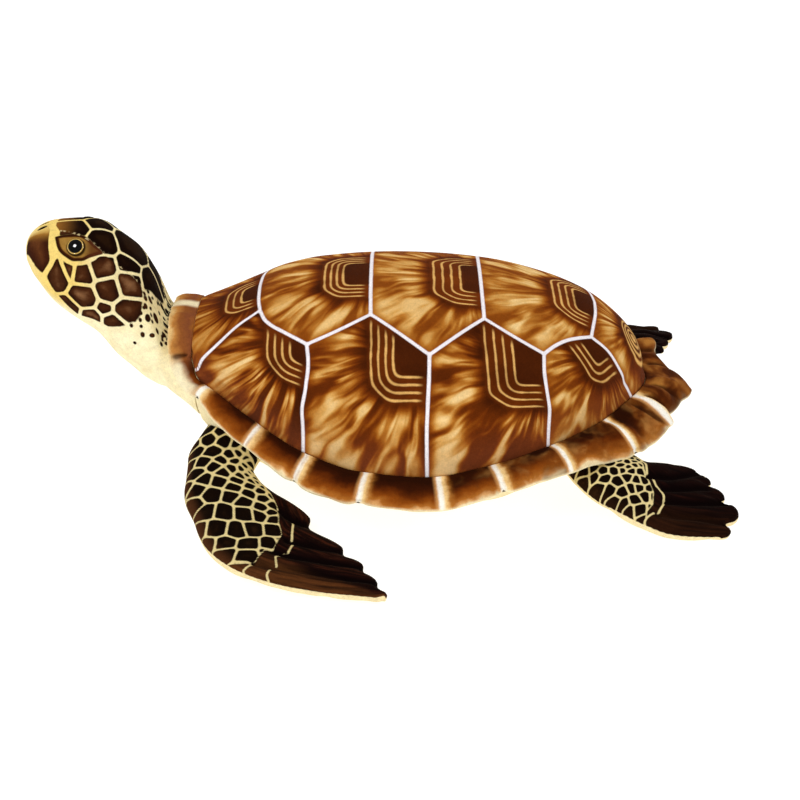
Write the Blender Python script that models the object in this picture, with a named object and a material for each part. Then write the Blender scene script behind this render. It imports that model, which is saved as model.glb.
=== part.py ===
"""A plush sea turtle toy: stuffed shell, rim, belly, head, four flippers and two eyes.

Metres, +Z up. The head points to -X, so the toy's left side is -Y.
The floor is Z = 0 and the flat of the belly rests on it.
"""
import math

import bmesh
import bpy
import numpy as np
from mathutils import Vector

# Fit between neighbouring pieces
GAP = 0.0003

# Shell dome: half width, height of its seam and height of its crown along X
FRONT_X = -0.171
REAR_X = 0.158
DOME_X = (
    -0.171, -0.167, -0.150, -0.125, -0.091, -0.049, -0.006,
    0.039, 0.076, 0.119, 0.138, 0.150, 0.156, 0.158,
)
DOME_HALF_WIDTH = (
    0.046, 0.057, 0.070, 0.087, 0.104, 0.118, 0.123,
    0.115, 0.098, 0.066, 0.044, 0.027, 0.014, 0.0,
)
DOME_SEAM_Z = (
    0.103, 0.095, 0.0865, 0.075, 0.060, 0.052, 0.051,
    0.056, 0.060, 0.064, 0.067, 0.068, 0.068, 0.068,
)
CROWN_X = (-0.171, -0.155, -0.130, -0.105, -0.080, -0.040, 0.0, 0.040, 0.080, 0.110, 0.135, 0.150, 0.158)
CROWN_Z = (0.1215, 0.127, 0.137, 0.1465, 0.151, 0.1525, 0.151, 0.1475, 0.140, 0.130, 0.1135, 0.096, 0.068)
DOME_FULLNESS = 2.15
DOME_STATIONS = 28
CORNER_X = (-0.1698, -0.1675, -0.1635)
ARC_STEPS = 18

# Rim: width and droop along half of the seam, from the neck to the tail
RIM_AT = (
    0.0, 0.045, 0.062, 0.082, 0.104, 0.130, 0.170, 0.212, 0.250,
    0.287, 0.325, 0.363, 0.382, 0.398, 0.418, 0.434, 0.454, 0.476,
)
RIM_WIDTH = (
    0.0195, 0.0170, 0.0150, 0.0145, 0.0190, 0.0205, 0.0240, 0.0265, 0.0275,
    0.0265, 0.0250, 0.0270, 0.0300, 0.0355, 0.0330, 0.0365, 0.0250, 0.0395,
)
RIM_RUFFLE = (
    0.0, 0.0, 0.0, 0.0, 0.0, 0.0, 0.0, 0.0, 0.0,
    0.0, 0.0, 0.0, -0.001, 0.001, -0.003, 0.003, -0.007, 0.001,
)
# Far side of the tail, where the rim is crumpled upwards
FAR_AT = (0.0, 0.398, 0.418, 0.436, 0.452, 0.465, 0.476)
FAR_EXTRA_WIDTH = (0.0, 0.0, 0.003, 0.003, 0.001, 0.0, 0.0)
FAR_LIFT = (0.0, 0.0, 0.011, 0.016, 0.019, 0.010, 0.0)
DROOP_AT = (0.0, 0.030, 0.050, 0.080, 0.200, 0.300, 0.360, 0.476)
RIM_DROOP = (-5.0, -5.0, 4.0, 12.0, 15.5, 15.5, 20.0, 22.0)
DEPTH_AT = (0.0, 0.045, 0.090, 0.120, 0.476)
RIM_DEPTH = (0.0045, 0.0045, 0.0110, 0.0130, 0.0120)
# Outline of the rim cut across: share of the width, height over the seam in units of the rim depth
RIM_OUTLINE = (
    (0.0, 0.02), (0.10, 0.20), (0.38, 0.30), (0.68, 0.22), (0.90, 0.02),
    (1.0, -0.20), (0.96, -0.42), (0.78, -0.62), (0.45, -0.82), (0.0, -1.0),
)

# Belly: lowest point and width of the resting flat along X
BELLY_X = (-0.171, -0.155, -0.135, -0.115, -0.095, 0.078, 0.100, 0.120, 0.140, 0.158)
BELLY_Z = (0.043, 0.029, 0.014, 0.004, 0.0, 0.0, 0.008, 0.022, 0.040, 0.053)
FLAT_X = (-0.115, -0.095, -0.050, -0.010, 0.040, 0.078, 0.095)
FLAT_HALF_WIDTH = (0.0, 0.018, 0.046, 0.054, 0.046, 0.016, 0.0)
BOWL_X = (-0.171, -0.150, -0.120, 0.158)
BOWL_FULLNESS = (2.2, 2.1, 1.7, 1.7)
# Upright band of the belly under the seam, and how far the flippers' seats stand off its skin
BELLY_WALL = 0.012
SEAT_GAP = 0.0004
BELLY_STEPS = 9

# Head and neck: centre height, half height and half width along X
NECK_X = -0.1713
SNOUT_X = -0.290
HEAD_X = (-0.171, -0.182, -0.192, -0.202, -0.214, -0.228, -0.242, -0.256, -0.270, -0.281, -0.287, -0.290)
HEAD_Z = (0.0795, 0.0848, 0.0915, 0.1075, 0.1224, 0.1357, 0.1486, 0.1540, 0.1592, 0.1646, 0.1668, 0.1690)
HEAD_HALF_HEIGHT = (
    0.0365, 0.0320, 0.0290, 0.0408, 0.0477, 0.0473,
    0.0407, 0.0354, 0.0290, 0.0194, 0.0117, 0.0,
)
HEAD_HALF_WIDTH = (
    0.0435, 0.0400, 0.0380, 0.0362, 0.0350, 0.0345,
    0.0340, 0.0320, 0.0275, 0.0200, 0.0130, 0.0,
)
HEAD_FULLNESS = 2.3
HEAD_STATIONS = 24
HEAD_STEPS = 32

# Safety eyes: plastic domes with a washer edge
EYE_DIAMETER = 0.012
EYE_HEIGHT = 0.0031
EYE_EDGE = 0.0010
EYE_X = -0.2497
EYE_TURN = 45.0
EYE_SINK = 0.0007

# Front flipper: its leading and its trailing edge in plan, root to tip, with height and thickness
FRONT_LEAD = (
    (-0.154, -0.030), (-0.1635, -0.052), (-0.1745, -0.076), (-0.1740, -0.104), (-0.1645, -0.133),
    (-0.151, -0.1610), (-0.1290, -0.1810), (-0.104, -0.1915), (-0.080, -0.1970), (-0.058, -0.2000),
    (-0.043, -0.2005), (-0.0345, -0.198),
)
FRONT_TRAIL = (
    (-0.108, -0.046), (-0.118, -0.066), (-0.127, -0.086), (-0.121, -0.0945), (-0.107, -0.102),
    (-0.0915, -0.112), (-0.0785, -0.128), (-0.0645, -0.1445), (-0.052, -0.159), (-0.0435, -0.173),
    (-0.037, -0.185), (-0.0335, -0.193),
)
FRONT_HEIGHT = (0.050, 0.046, 0.036, 0.029, 0.022, 0.0165, 0.0125, 0.0100, 0.0084, 0.0072, 0.0060, 0.0053)
FRONT_THICKNESS = (0.034, 0.033, 0.029, 0.025, 0.022, 0.0195, 0.0170, 0.0145, 0.0125, 0.0110, 0.0090, 0.0070)
# Fingertips along the trailing edge, with the run and depth of the step in behind each
FRONT_TIPS = ((0.490, 0.029, 0.0056), (0.646, 0.028, 0.0042), (0.760, 0.025, 0.0034), (0.876, 0.025, 0.0028))
FRONT_STATIONS = (
    0.0, 0.07, 0.14, 0.21, 0.28, 0.35, 0.42, 0.455, 0.49, 0.519, 0.55, 0.583, 0.615,
    0.646, 0.674, 0.703, 0.731, 0.760, 0.785, 0.83, 0.876, 0.901, 0.934, 0.967, 1.0,
)
FRONT_HEADING = (0.75, -0.65, 0.0)

# Rear flipper, likewise; its free end carries four scalloped toes
REAR_LEAD = (
    (0.084, -0.050), (0.093, -0.086), (0.105, -0.111), (0.120, -0.131), (0.1365, -0.1495),
    (0.154, -0.1615), (0.171, -0.1645), (0.185, -0.1640),
)
REAR_TRAIL = (
    (0.124, -0.030), (0.135, -0.058), (0.144, -0.077), (0.150, -0.0875), (0.160, -0.0905),
    (0.170, -0.0910), (0.180, -0.0920), (0.186, -0.0960),
)
REAR_HEIGHT = (0.036, 0.036, 0.0365, 0.0365, 0.0365, 0.0355, 0.0345, 0.0335)
REAR_TILT = (0.0, 0.0, -0.003, -0.005, -0.006, -0.006, -0.005, -0.004)
REAR_THICKNESS = (0.020, 0.020, 0.020, 0.0185, 0.016, 0.0135, 0.0115, 0.0085)
# Reach of the toes past the end of the rear flipper, from its leading to its trailing edge
REAR_TOE_AT = (0.0, 0.06, 0.16, 0.24, 0.32, 0.42, 0.52, 0.58, 0.65, 0.73, 0.80, 0.88, 0.95, 1.0)
REAR_TOE_REACH = (
    0.0, 0.0065, 0.0095, 0.0070, 0.0140, 0.0175, 0.0145,
    0.0068, 0.0110, 0.0085, 0.0004, 0.0040, 0.0030, 0.0,
)
REAR_HEADING = (1.0, -0.20, -0.06)
# How far the rounded end of a flipper stands out past its last section
END_STEP = 0.0018

# Colours of the pieces, as sRGB hex, with roughness
COLOURS = {
    "shell": ("#8a4f1d", 0.85),
    "shell_rim": ("#6d3512", 0.85),
    "belly": ("#f6ecb6", 0.85),
    "head_neck": ("#54351c", 0.85),
    "front_flipper": ("#2a1509", 0.85),
    "rear_flipper": ("#24110a", 0.85),
    "eye": ("#0b0806", 0.12),
}


# Curves

def smooth(keys, values, at):
    """Heights at `at` of a smooth curve through the points given, without overshoot."""
    k = np.asarray(keys, float)
    v = np.asarray(values, float)
    x = np.clip(np.asarray(at, float), k[0], k[-1])
    step = np.diff(k)
    rise = np.diff(v) / step
    slope = np.zeros(len(k))
    same = rise[:-1] * rise[1:] > 0
    w1 = 2 * step[1:] + step[:-1]
    w2 = step[1:] + 2 * step[:-1]
    left = np.where(same, rise[:-1], 1.0)
    right = np.where(same, rise[1:], 1.0)
    slope[1:-1] = np.where(same, (w1 + w2) / (w1 / left + w2 / right), 0.0)
    slope[0] = rise[0]
    slope[-1] = rise[-1]
    i = np.clip(np.searchsorted(k, x, side="right") - 1, 0, len(k) - 2)
    h = step[i]
    t = (x - k[i]) / h
    start = v[i] * (1 + 2 * t) * (1 - t) ** 2 + h * slope[i] * t * (1 - t) ** 2
    end = v[i + 1] * t * t * (3 - 2 * t) + h * slope[i + 1] * t * t * (t - 1)
    return start + end


def signed_power(value, exponent):
    return np.sign(value) * np.abs(value) ** exponent


def unit(vectors):
    length = np.linalg.norm(vectors, axis=-1, keepdims=True)
    return vectors / np.maximum(length, 1e-12)


# Meshes

def linear(hex_colour):
    channels = [int(hex_colour[i:i + 2], 16) / 255 for i in (1, 3, 5)]
    return [c / 12.92 if c <= 0.04045 else ((c + 0.055) / 1.055) ** 2.4 for c in channels]


def make_material(name, hex_colour, roughness):
    material = bpy.data.materials.new(name)
    material.use_nodes = True
    shader = material.node_tree.nodes["Principled BSDF"]
    shader.inputs["Base Color"].default_value = (*linear(hex_colour), 1)
    shader.inputs["Roughness"].default_value = roughness
    shader.inputs["Metallic"].default_value = 0.0
    return material


def make_object(name, vertices, faces, look):
    mesh = bpy.data.meshes.new(name)
    mesh.from_pydata([tuple(v) for v in vertices], [], faces)
    work = bmesh.new()
    work.from_mesh(mesh)
    bmesh.ops.remove_doubles(work, verts=work.verts, dist=1e-6)
    bmesh.ops.recalc_face_normals(work, faces=work.faces)
    work.to_mesh(mesh)
    work.free()
    mesh.validate()
    finish_shading(mesh)
    mesh.materials.append(make_material(name, *COLOURS[look]))
    thing = bpy.data.objects.new(name, mesh)
    bpy.context.scene.collection.objects.link(thing)
    return thing


def finish_shading(mesh):
    mesh.polygons.foreach_set("use_smooth", [True] * len(mesh.polygons))
    mesh.set_sharp_from_angle(angle=math.radians(50))


def loft(rings, closed_length=False):
    """Vertices and faces of a skin over rings of equal point count; the ends are capped."""
    rings = np.asarray(rings)
    count, size = rings.shape[:2]
    vertices = list(rings.reshape(-1, 3))
    faces = []
    for i in range(count if closed_length else count - 1):
        following = (i + 1) % count
        for j in range(size):
            k = (j + 1) % size
            here, beside = i * size + j, i * size + k
            ahead, across = following * size + j, following * size + k
            faces += [(here, beside, across), (here, across, ahead)]
    if not closed_length:
        for row in (0, count - 1):
            centre = len(vertices)
            vertices.append(rings[row].mean(axis=0))
            faces += [(row * size + j, row * size + (j + 1) % size, centre) for j in range(size)]
    return vertices, faces


def drop_collapsed(vertices, faces):
    """Merge vertices that share a place and leave out faces without area."""
    places = {}
    index = []
    kept = []
    for vertex in vertices:
        key = tuple(np.round(np.asarray(vertex) * 1e6).astype(int))
        if key not in places:
            places[key] = len(kept)
            kept.append(tuple(float(c) for c in vertex))
        index.append(places[key])
    solid = []
    for face in faces:
        ring = [index[i] for i in face]
        ring = [p for n, p in enumerate(ring) if p != ring[n - 1]]
        if len(set(ring)) >= 3:
            solid.append(tuple(ring))
    return kept, solid


# Shell

def dome_angle(x):
    """Even steps of this angle crowd the stations towards the rounded rear."""
    return np.arccos(np.clip(1 - (REAR_X - np.asarray(x)) / (REAR_X - FRONT_X), -1, 1))


def dome_stations():
    angle = np.linspace(math.pi / 2, 0, DOME_STATIONS)
    x = REAR_X - (REAR_X - FRONT_X) * (1 - np.cos(angle))
    return np.concatenate([[FRONT_X], CORNER_X, x[1:]])


def dome_half_width(x):
    return smooth(dome_angle(DOME_X)[::-1], DOME_HALF_WIDTH[::-1], dome_angle(x))


def dome_seam_z(x):
    return smooth(dome_angle(DOME_X)[::-1], DOME_SEAM_Z[::-1], dome_angle(x))


def crown_z(x):
    return smooth(dome_angle(CROWN_X)[::-1], CROWN_Z[::-1], dome_angle(x))


def dome_arc(x, steps=ARC_STEPS):
    """Points of the dome cut across at x, from the near seam over the crown to the far one."""
    turn = np.linspace(-math.pi / 2, math.pi / 2, steps + 1)
    y = dome_half_width(x) * signed_power(np.sin(turn), 2 / DOME_FULLNESS)
    rise = crown_z(x) - dome_seam_z(x)
    z = dome_seam_z(x) + rise * np.abs(np.cos(turn)) ** (2 / DOME_FULLNESS)
    return np.stack([np.full_like(y, x), y, z], -1)


def make_shell():
    rings = []
    for x in dome_stations():
        arc = dome_arc(x)
        share = np.linspace(1, -1, 9)[1:-1]
        floor = np.stack([np.full(7, x), share * arc[-1][1], np.full(7, arc[-1][2])], -1)
        rings.append(np.vstack([arc, floor]))
    vertices, faces = drop_collapsed(*loft(rings))
    return make_object("shell", vertices, faces, "shell")


# Rim

def seam_loop():
    """The seam between dome and rim, once around from the crown of the neck, near side first."""
    front = dome_arc(FRONT_X)[:ARC_STEPS // 2 + 1][::-1]
    x = dome_stations()[1:]
    side = np.stack([x, -dome_half_width(x), dome_seam_z(x)], -1)
    near = np.vstack([front, side])
    far = near[1:-1][::-1] * (1, -1, 1)
    return np.vstack([near, far])


def rounded(vectors, rounds):
    for _ in range(rounds):
        vectors = (np.roll(vectors, 1, 0) + 2 * vectors + np.roll(vectors, -1, 0)) / 4
    return vectors


def radial_lift(loop):
    """Directions away from the middle of the neck, in the plane across it."""
    turn = np.clip(loop[:, 1] / DOME_HALF_WIDTH[0], -1, 1)
    return np.stack([0 * turn, turn * np.abs(turn), np.sqrt(1 - turn ** 4 + 1e-9)], -1)


def seam_frames(loop):
    """Distance from the neck, outward, lift and along directions at every point of the seam."""
    half = len(loop) // 2
    step = np.linalg.norm(np.diff(loop[:half + 1], axis=0), axis=1)
    reach = np.concatenate([[0], np.cumsum(step)])
    reach *= RIM_AT[-1] / reach[-1]
    distance = np.concatenate([reach, reach[1:-1][::-1]])
    chord = np.roll(loop, -1, 0) - np.roll(loop, 1, 0)
    along = unit(chord)
    plan = np.stack([chord[:, 1], -chord[:, 0], 0 * chord[:, 0]], -1)
    plan *= np.sign((plan * (loop - (0, 0, 0.08))).sum(1, keepdims=True) + 1e-12)
    outward = unit(rounded(plan, 2))
    on_neck = (loop[:, 0] < FRONT_X + 1e-6)[:, None]
    lift = unit(rounded(np.where(on_neck, radial_lift(loop), (0.0, 0.0, 1.0)), 3))
    return distance, outward, lift, along


def make_rim():
    loop = seam_loop()
    distance, outward, lift, along = seam_frames(loop)
    width = smooth(RIM_AT, RIM_WIDTH, distance)[:, None]
    ruffle = smooth(RIM_AT, RIM_RUFFLE, distance)[:, None]
    far = (loop[:, 1] > 0)[:, None]
    width = width + far * smooth(FAR_AT, FAR_EXTRA_WIDTH, distance)[:, None]
    ruffle = ruffle + far * smooth(FAR_AT, FAR_LIFT, distance)[:, None]
    droop = np.radians(smooth(DROOP_AT, RIM_DROOP, distance))[:, None]
    depth = smooth(DEPTH_AT, RIM_DEPTH, distance)[:, None]
    reach = outward * np.cos(droop) - lift * np.sin(droop)
    across = unit(np.cross(reach, along))
    across *= np.sign((across * lift).sum(1, keepdims=True))
    on_neck = (loop[:, 0] < FRONT_X + 1e-6) & (np.abs(loop[:, 1]) < 0.99 * DOME_HALF_WIDTH[0])
    wall = np.where(on_neck[:, None], radial_lift(loop), (0.0, 0.0, 1.0))
    rings = []
    for share, height in RIM_OUTLINE:
        start = loop + outward * GAP
        if share == 0.0:
            point = start + wall * height * depth
        else:
            point = start + reach * share * width + across * height * depth
            point = point + lift * ruffle * share ** 2
        rings.append(point)
    rings = np.stack(rings, 1)
    vertices, faces = loft(rings, closed_length=True)
    return make_object("shell_rim", vertices, faces, "shell_rim")


# Belly

def belly_ring(x, grow):
    width = float(dome_half_width(x)) + grow
    top = float(dome_seam_z(x)) - GAP + grow
    low = float(smooth(BELLY_X, BELLY_Z, x)) - grow
    flat = float(smooth(FLAT_X, FLAT_HALF_WIDTH, x)) if FLAT_X[0] < x < FLAT_X[-1] else 0.0
    edge = top - min(BELLY_WALL, (top - low) * 0.45)
    flat = min(flat, width * 0.8)
    fullness = float(smooth(BOWL_X, BOWL_FULLNESS, x))
    turn = np.linspace(0, math.pi / 2, BELLY_STEPS + 1)
    y = flat + (width - flat) * np.sin(turn) ** (2 / fullness)
    z = low + (edge - low) * (1 - np.cos(turn) ** (2 / fullness))
    half = [(0.0, low), (flat * 0.5, low)] + list(zip(y, z))
    top_row = [(width, top), (width * 0.66, top), (width * 0.33, top)]
    right = half + top_row
    left = [(-a, b) for a, b in right[1:]][::-1]
    section = right + [(0.0, top)] + left
    return [(x, a, b) for a, b in section]


def belly_shape(grow=0.0):
    stations = dome_stations()[:-1]
    stations[0] -= grow
    rings = [belly_ring(max(x, FRONT_X), grow) for x in stations]
    rings[0] = [(stations[0], y, z) for _, y, z in rings[0]]
    return drop_collapsed(*loft(rings))


def make_belly():
    vertices, faces = belly_shape()
    return make_object("belly", vertices, faces, "belly")


# Head and neck

def head_angle(x):
    """Even steps of this angle crowd the stations towards the snout."""
    return np.arcsin(np.clip((NECK_X - np.asarray(x)) / (NECK_X - SNOUT_X), 0, 1))


def head_point(x, turn):
    """A point of the head's skin; the turn runs from the crown towards the toy's left cheek."""
    angle = head_angle(x)
    keys = head_angle(HEAD_X)
    keys[0] = 0.0
    centre = smooth(keys, HEAD_Z, angle)
    tall = smooth(keys, HEAD_HALF_HEIGHT, angle)
    wide = smooth(keys, HEAD_HALF_WIDTH, angle)
    y = -wide * signed_power(np.sin(turn), 2 / HEAD_FULLNESS)
    z = centre + tall * signed_power(np.cos(turn), 2 / HEAD_FULLNESS)
    return np.stack(np.broadcast_arrays(x, y, z), -1)


def make_head():
    angles = np.linspace(0, math.pi / 2, HEAD_STATIONS)
    turns = np.linspace(0, 2 * math.pi, HEAD_STEPS + 1)[:-1]
    rings = [head_point(NECK_X - (NECK_X - SNOUT_X) * math.sin(a), turns) for a in angles]
    vertices, faces = drop_collapsed(*loft(rings))
    return make_object("head_neck", vertices, faces, "head_neck")


# Eyes

def eye_frame(side):
    """Place and axes of an eye on the cheek; side is -1 on the toy's left and 1 on its right."""
    turn = math.radians(EYE_TURN)
    here = head_point(EYE_X, turn)
    ahead = head_point(EYE_X - 0.001, turn)
    below = head_point(EYE_X, turn + 0.02)
    normal = unit(np.cross(ahead - here, below - here))
    if normal[1] > 0:
        normal = -normal
    mirror = np.array([1.0, -side, 1.0])
    return here * mirror, normal * mirror


def make_eye(name, side):
    place, normal = eye_frame(side)
    start = Vector(place) + Vector(normal) * (EYE_SINK + GAP)
    turn = Vector((0, 0, 1)).rotation_difference(Vector(normal)).to_matrix()
    radius = EYE_DIAMETER / 2
    outline = [(radius * 0.94, 0.0), (radius, EYE_EDGE * 0.4), (radius, EYE_EDGE)]
    for step in range(1, 6):
        angle = step / 5 * math.pi / 2
        outline.append((radius * math.cos(angle), EYE_EDGE + (EYE_HEIGHT - EYE_EDGE) * math.sin(angle)))
    steps = np.linspace(0, 2 * math.pi, 21)[:-1]
    rings = []
    for reach, height in outline:
        ring = [turn @ Vector((reach * math.cos(a), reach * math.sin(a), height)) + start for a in steps]
        rings.append([tuple(p) for p in ring])
    vertices, faces = drop_collapsed(*loft(rings))
    return make_object(name, vertices, faces, "eye")


# Flippers

def pillow(lead, trail, thickness, steps, sharp):
    """A closed section between two edges, rounded like a stuffed cushion; the top comes first."""
    turn = np.linspace(0, 2 * math.pi, 2 * steps + 1)[:-1]
    share = 0.5 - 0.5 * np.cos(turn)
    height = 0.5 * thickness * signed_power(np.sin(turn), sharp)
    up = np.array([0.0, 0.0, 1.0])
    return lead + (trail - lead) * share[:, None] + up * height[:, None]


def rounded_end(rings, step):
    """The rings with one more, half as thick, a step past the last."""
    last = rings[-1]
    mirrored = np.roll(last[::-1], 1, axis=0)
    middle = (last + mirrored) / 2
    thin = middle + (last - middle) * (1, 1, 0.5) + step
    return np.concatenate([rings, thin[None]])


def tip_steps(t):
    """How far the trailing edge steps in behind each fingertip before it comes back out at the next."""
    keys, depths = [0.0, FRONT_TIPS[0][0] - 0.04], [0.0, 0.0]
    for tip, run, depth in FRONT_TIPS:
        keys += [tip, tip + run]
        depths += [0.0, depth]
    return float(smooth(keys + [1.0], depths + [0.0], t))


def front_edges(t):
    """Leading and trailing edge of the front flipper at share t of its length."""
    keys = np.linspace(0, 1, len(FRONT_LEAD))
    lead = [smooth(keys, [p[i] for p in FRONT_LEAD], t) for i in (0, 1)]
    trail = [smooth(keys, [p[i] for p in FRONT_TRAIL], t) for i in (0, 1)]
    height = smooth(keys, FRONT_HEIGHT, t)
    lead = np.array([lead[0], lead[1], height])
    trail = np.array([trail[0], trail[1], height])
    return lead, trail + unit(lead - trail) * tip_steps(t)


def front_rings():
    keys = np.linspace(0, 1, len(FRONT_LEAD))
    rings = []
    for t in FRONT_STATIONS:
        lead, trail = front_edges(t)
        thickness = float(smooth(keys, FRONT_THICKNESS, t))
        rings.append(pillow(lead, trail, thickness, 7, 0.8))
    return rounded_end(np.array(rings), unit(np.array(FRONT_HEADING)) * END_STEP)


def rear_rings():
    keys = np.linspace(0, 1, len(REAR_LEAD))
    stations = np.linspace(0, 1, 10)
    steps = 18
    rings = []
    for t in stations:
        lead = np.array([smooth(keys, [p[i] for p in REAR_LEAD], t) for i in (0, 1)])
        trail = np.array([smooth(keys, [p[i] for p in REAR_TRAIL], t) for i in (0, 1)])
        height = float(smooth(keys, REAR_HEIGHT, t))
        tilt = float(smooth(keys, REAR_TILT, t))
        lead = np.array([*lead, height + tilt])
        trail = np.array([*trail, height - tilt])
        thickness = float(smooth(keys, REAR_THICKNESS, t))
        rings.append(pillow(lead, trail, thickness, steps, 0.8))
    rings = np.array(rings)
    turn = np.linspace(0, 2 * math.pi, 2 * steps + 1)[:-1]
    share = 0.5 - 0.5 * np.cos(turn)
    toe = smooth(REAR_TOE_AT, REAR_TOE_REACH, share)
    heading = unit(np.array(REAR_HEADING))
    for row, strength in ((-3, 0.22), (-2, 0.55), (-1, 1.0)):
        rings[row] += heading * (toe * strength)[:, None]
    return rounded_end(rings, heading * END_STEP)


def make_flipper(name, look, rings, side, cutter):
    rings = np.asarray(rings) * (1, -side, 1)
    vertices, faces = drop_collapsed(*loft(rings))
    flipper = make_object(name, vertices, faces, look)
    trim = flipper.modifiers.new("seat on the belly", "BOOLEAN")
    trim.operation = "DIFFERENCE"
    trim.solver = "EXACT"
    trim.object = cutter
    graph = bpy.context.evaluated_depsgraph_get()
    mesh = bpy.data.meshes.new_from_object(flipper.evaluated_get(graph))
    flipper.modifiers.clear()
    old = flipper.data
    flipper.data = mesh
    mesh.name = name
    bpy.data.meshes.remove(old)
    finish_shading(mesh)
    return flipper


def make_flippers():
    vertices, faces = belly_shape(grow=SEAT_GAP)
    cutter = make_object("cutter", vertices, faces, "belly")
    sides = (("left", -1), ("right", 1))
    for word, side in sides:
        make_flipper("front_flipper_" + word, "front_flipper", front_rings(), side, cutter)
        make_flipper("rear_flipper_" + word, "rear_flipper", rear_rings(), side, cutter)
    bpy.data.objects.remove(cutter, do_unlink=True)


def build():
    for thing in list(bpy.data.objects):
        bpy.data.objects.remove(thing, do_unlink=True)
    make_shell()
    make_rim()
    make_belly()
    make_head()
    make_eye("eye_left", -1)
    make_eye("eye_right", 1)
    make_flippers()


build()
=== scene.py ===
"""A plush sea turtle toy on a pale floor: stuffed, printed fabric with sewn seams and plastic eyes.

Metres, +Z up. The head points to -X, and the camera stands on the toy's left side, -Y.
"""
import math
from functools import partial

import bmesh
import bpy
import numpy as np
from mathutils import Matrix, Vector


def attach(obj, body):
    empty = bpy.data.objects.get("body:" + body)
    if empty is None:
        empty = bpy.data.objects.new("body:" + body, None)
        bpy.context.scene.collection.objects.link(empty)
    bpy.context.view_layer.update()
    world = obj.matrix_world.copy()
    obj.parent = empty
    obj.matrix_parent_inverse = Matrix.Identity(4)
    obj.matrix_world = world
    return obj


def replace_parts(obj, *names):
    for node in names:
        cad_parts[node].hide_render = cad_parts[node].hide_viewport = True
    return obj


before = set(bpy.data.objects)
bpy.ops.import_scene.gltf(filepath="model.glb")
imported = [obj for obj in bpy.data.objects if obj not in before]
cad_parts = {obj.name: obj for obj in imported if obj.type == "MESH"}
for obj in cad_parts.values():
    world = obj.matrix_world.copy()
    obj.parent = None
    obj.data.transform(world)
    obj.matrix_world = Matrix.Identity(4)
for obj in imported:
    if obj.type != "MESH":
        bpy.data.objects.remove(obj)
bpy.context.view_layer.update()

MM = 0.001
# Sewn joins are gaps of 0.3 mm, as between the solids
GAP = 0.0003
# Depth in mm of a printed mark where there is none of it, and the distance to a mark far away
BARE, NOWHERE = -9.0, 1e3
# Cloth: frames run, the least hold that counts, and how close points are joined, in mm
CLOTH_FRAMES, HELD_LEAST, JOINED = 20, 0.01, 1.0


# Curves and vectors

def smooth(keys, values, at):
    """Heights at `at` of a smooth curve through the points given, without overshoot."""
    k = np.asarray(keys, float)
    v = np.asarray(values, float)
    x = np.clip(np.asarray(at, float), k[0], k[-1])
    step = np.diff(k)
    rise = np.diff(v) / step
    slope = np.zeros(len(k))
    same = rise[:-1] * rise[1:] > 0
    w1 = 2 * step[1:] + step[:-1]
    w2 = step[1:] + 2 * step[:-1]
    left = np.where(same, rise[:-1], 1.0)
    right = np.where(same, rise[1:], 1.0)
    slope[1:-1] = np.where(same, (w1 + w2) / (w1 / left + w2 / right), 0.0)
    slope[0] = rise[0]
    slope[-1] = rise[-1]
    i = np.clip(np.searchsorted(k, x, side="right") - 1, 0, len(k) - 2)
    h = step[i]
    t = (x - k[i]) / h
    start = v[i] * (1 + 2 * t) * (1 - t) ** 2 + h * slope[i] * t * (1 - t) ** 2
    end = v[i + 1] * t * t * (3 - 2 * t) + h * slope[i + 1] * t * t * (t - 1)
    return start + end


def signed_power(value, exponent):
    return np.sign(value) * np.abs(value) ** exponent


def size_of(vectors):
    """The length of each vector."""
    return np.linalg.norm(vectors, axis=-1)


def unit(vectors):
    return vectors / np.maximum(size_of(vectors)[..., None], 1e-12)


def reach_of(steps):
    """How far along each point lies, from the steps between them."""
    return np.concatenate([[0], np.cumsum(steps)])


def ease(low, high, at):
    """0 below low, 1 above high and a soft step between."""
    t = np.clip((np.asarray(at, float) - low) / (high - low), 0, 1)
    return t * t * (3 - 2 * t)


def bell(distance, width):
    return np.exp(-(distance / width) ** 2)


def ripples(at, lengths, seed):
    """A smooth irregular wave, about -1 to 1, from sines of the wavelengths given."""
    shifts = np.random.default_rng(seed).uniform(0, 2 * math.pi, len(lengths))
    waves = [np.sin(2 * math.pi * at / length + shift) for length, shift in zip(lengths, shifts)]
    return sum(waves) / len(lengths) ** 0.5


def through(points, closer):
    """A finer line through the points given."""
    points = np.asarray(points, float)
    keys = np.arange(len(points))
    at = np.linspace(0, len(points) - 1, (len(points) - 1) * closer + 1)
    return np.stack([smooth(keys, points[:, i], at) for i in range(points.shape[1])], -1)


def around(points, closer):
    """A finer closed curve through the points given, curved evenly at every one."""
    before, after, beyond = (np.roll(points, n, 0) for n in (1, -1, -2))
    runs = []
    for t in np.arange(closer) / closer:
        runs.append(0.5 * (2 * points + (after - before) * t
                           + (2 * before - 5 * points + 4 * after - beyond) * t ** 2
                           + (3 * points - before - 3 * after + beyond) * t ** 3))
    return np.stack(runs, 1).reshape((-1,) + points.shape[1:])


def distance_to_lines(points, lines):
    """How far each point is from the nearest of the lines, in the units given."""
    flat = points.reshape(-1, points.shape[-1])
    nearest = np.full(len(flat), 1e9)
    for line in lines:
        line = np.asarray(line, float)
        for start, end in zip(line[:-1], line[1:]):
            along = end - start
            share = np.clip((flat - start) @ along / max(along @ along, 1e-18), 0, 1)
            gap = flat - start - share[:, None] * along
            nearest = np.minimum(nearest, (gap * gap).sum(1))
    return np.sqrt(nearest).reshape(points.shape[:-1])


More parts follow.
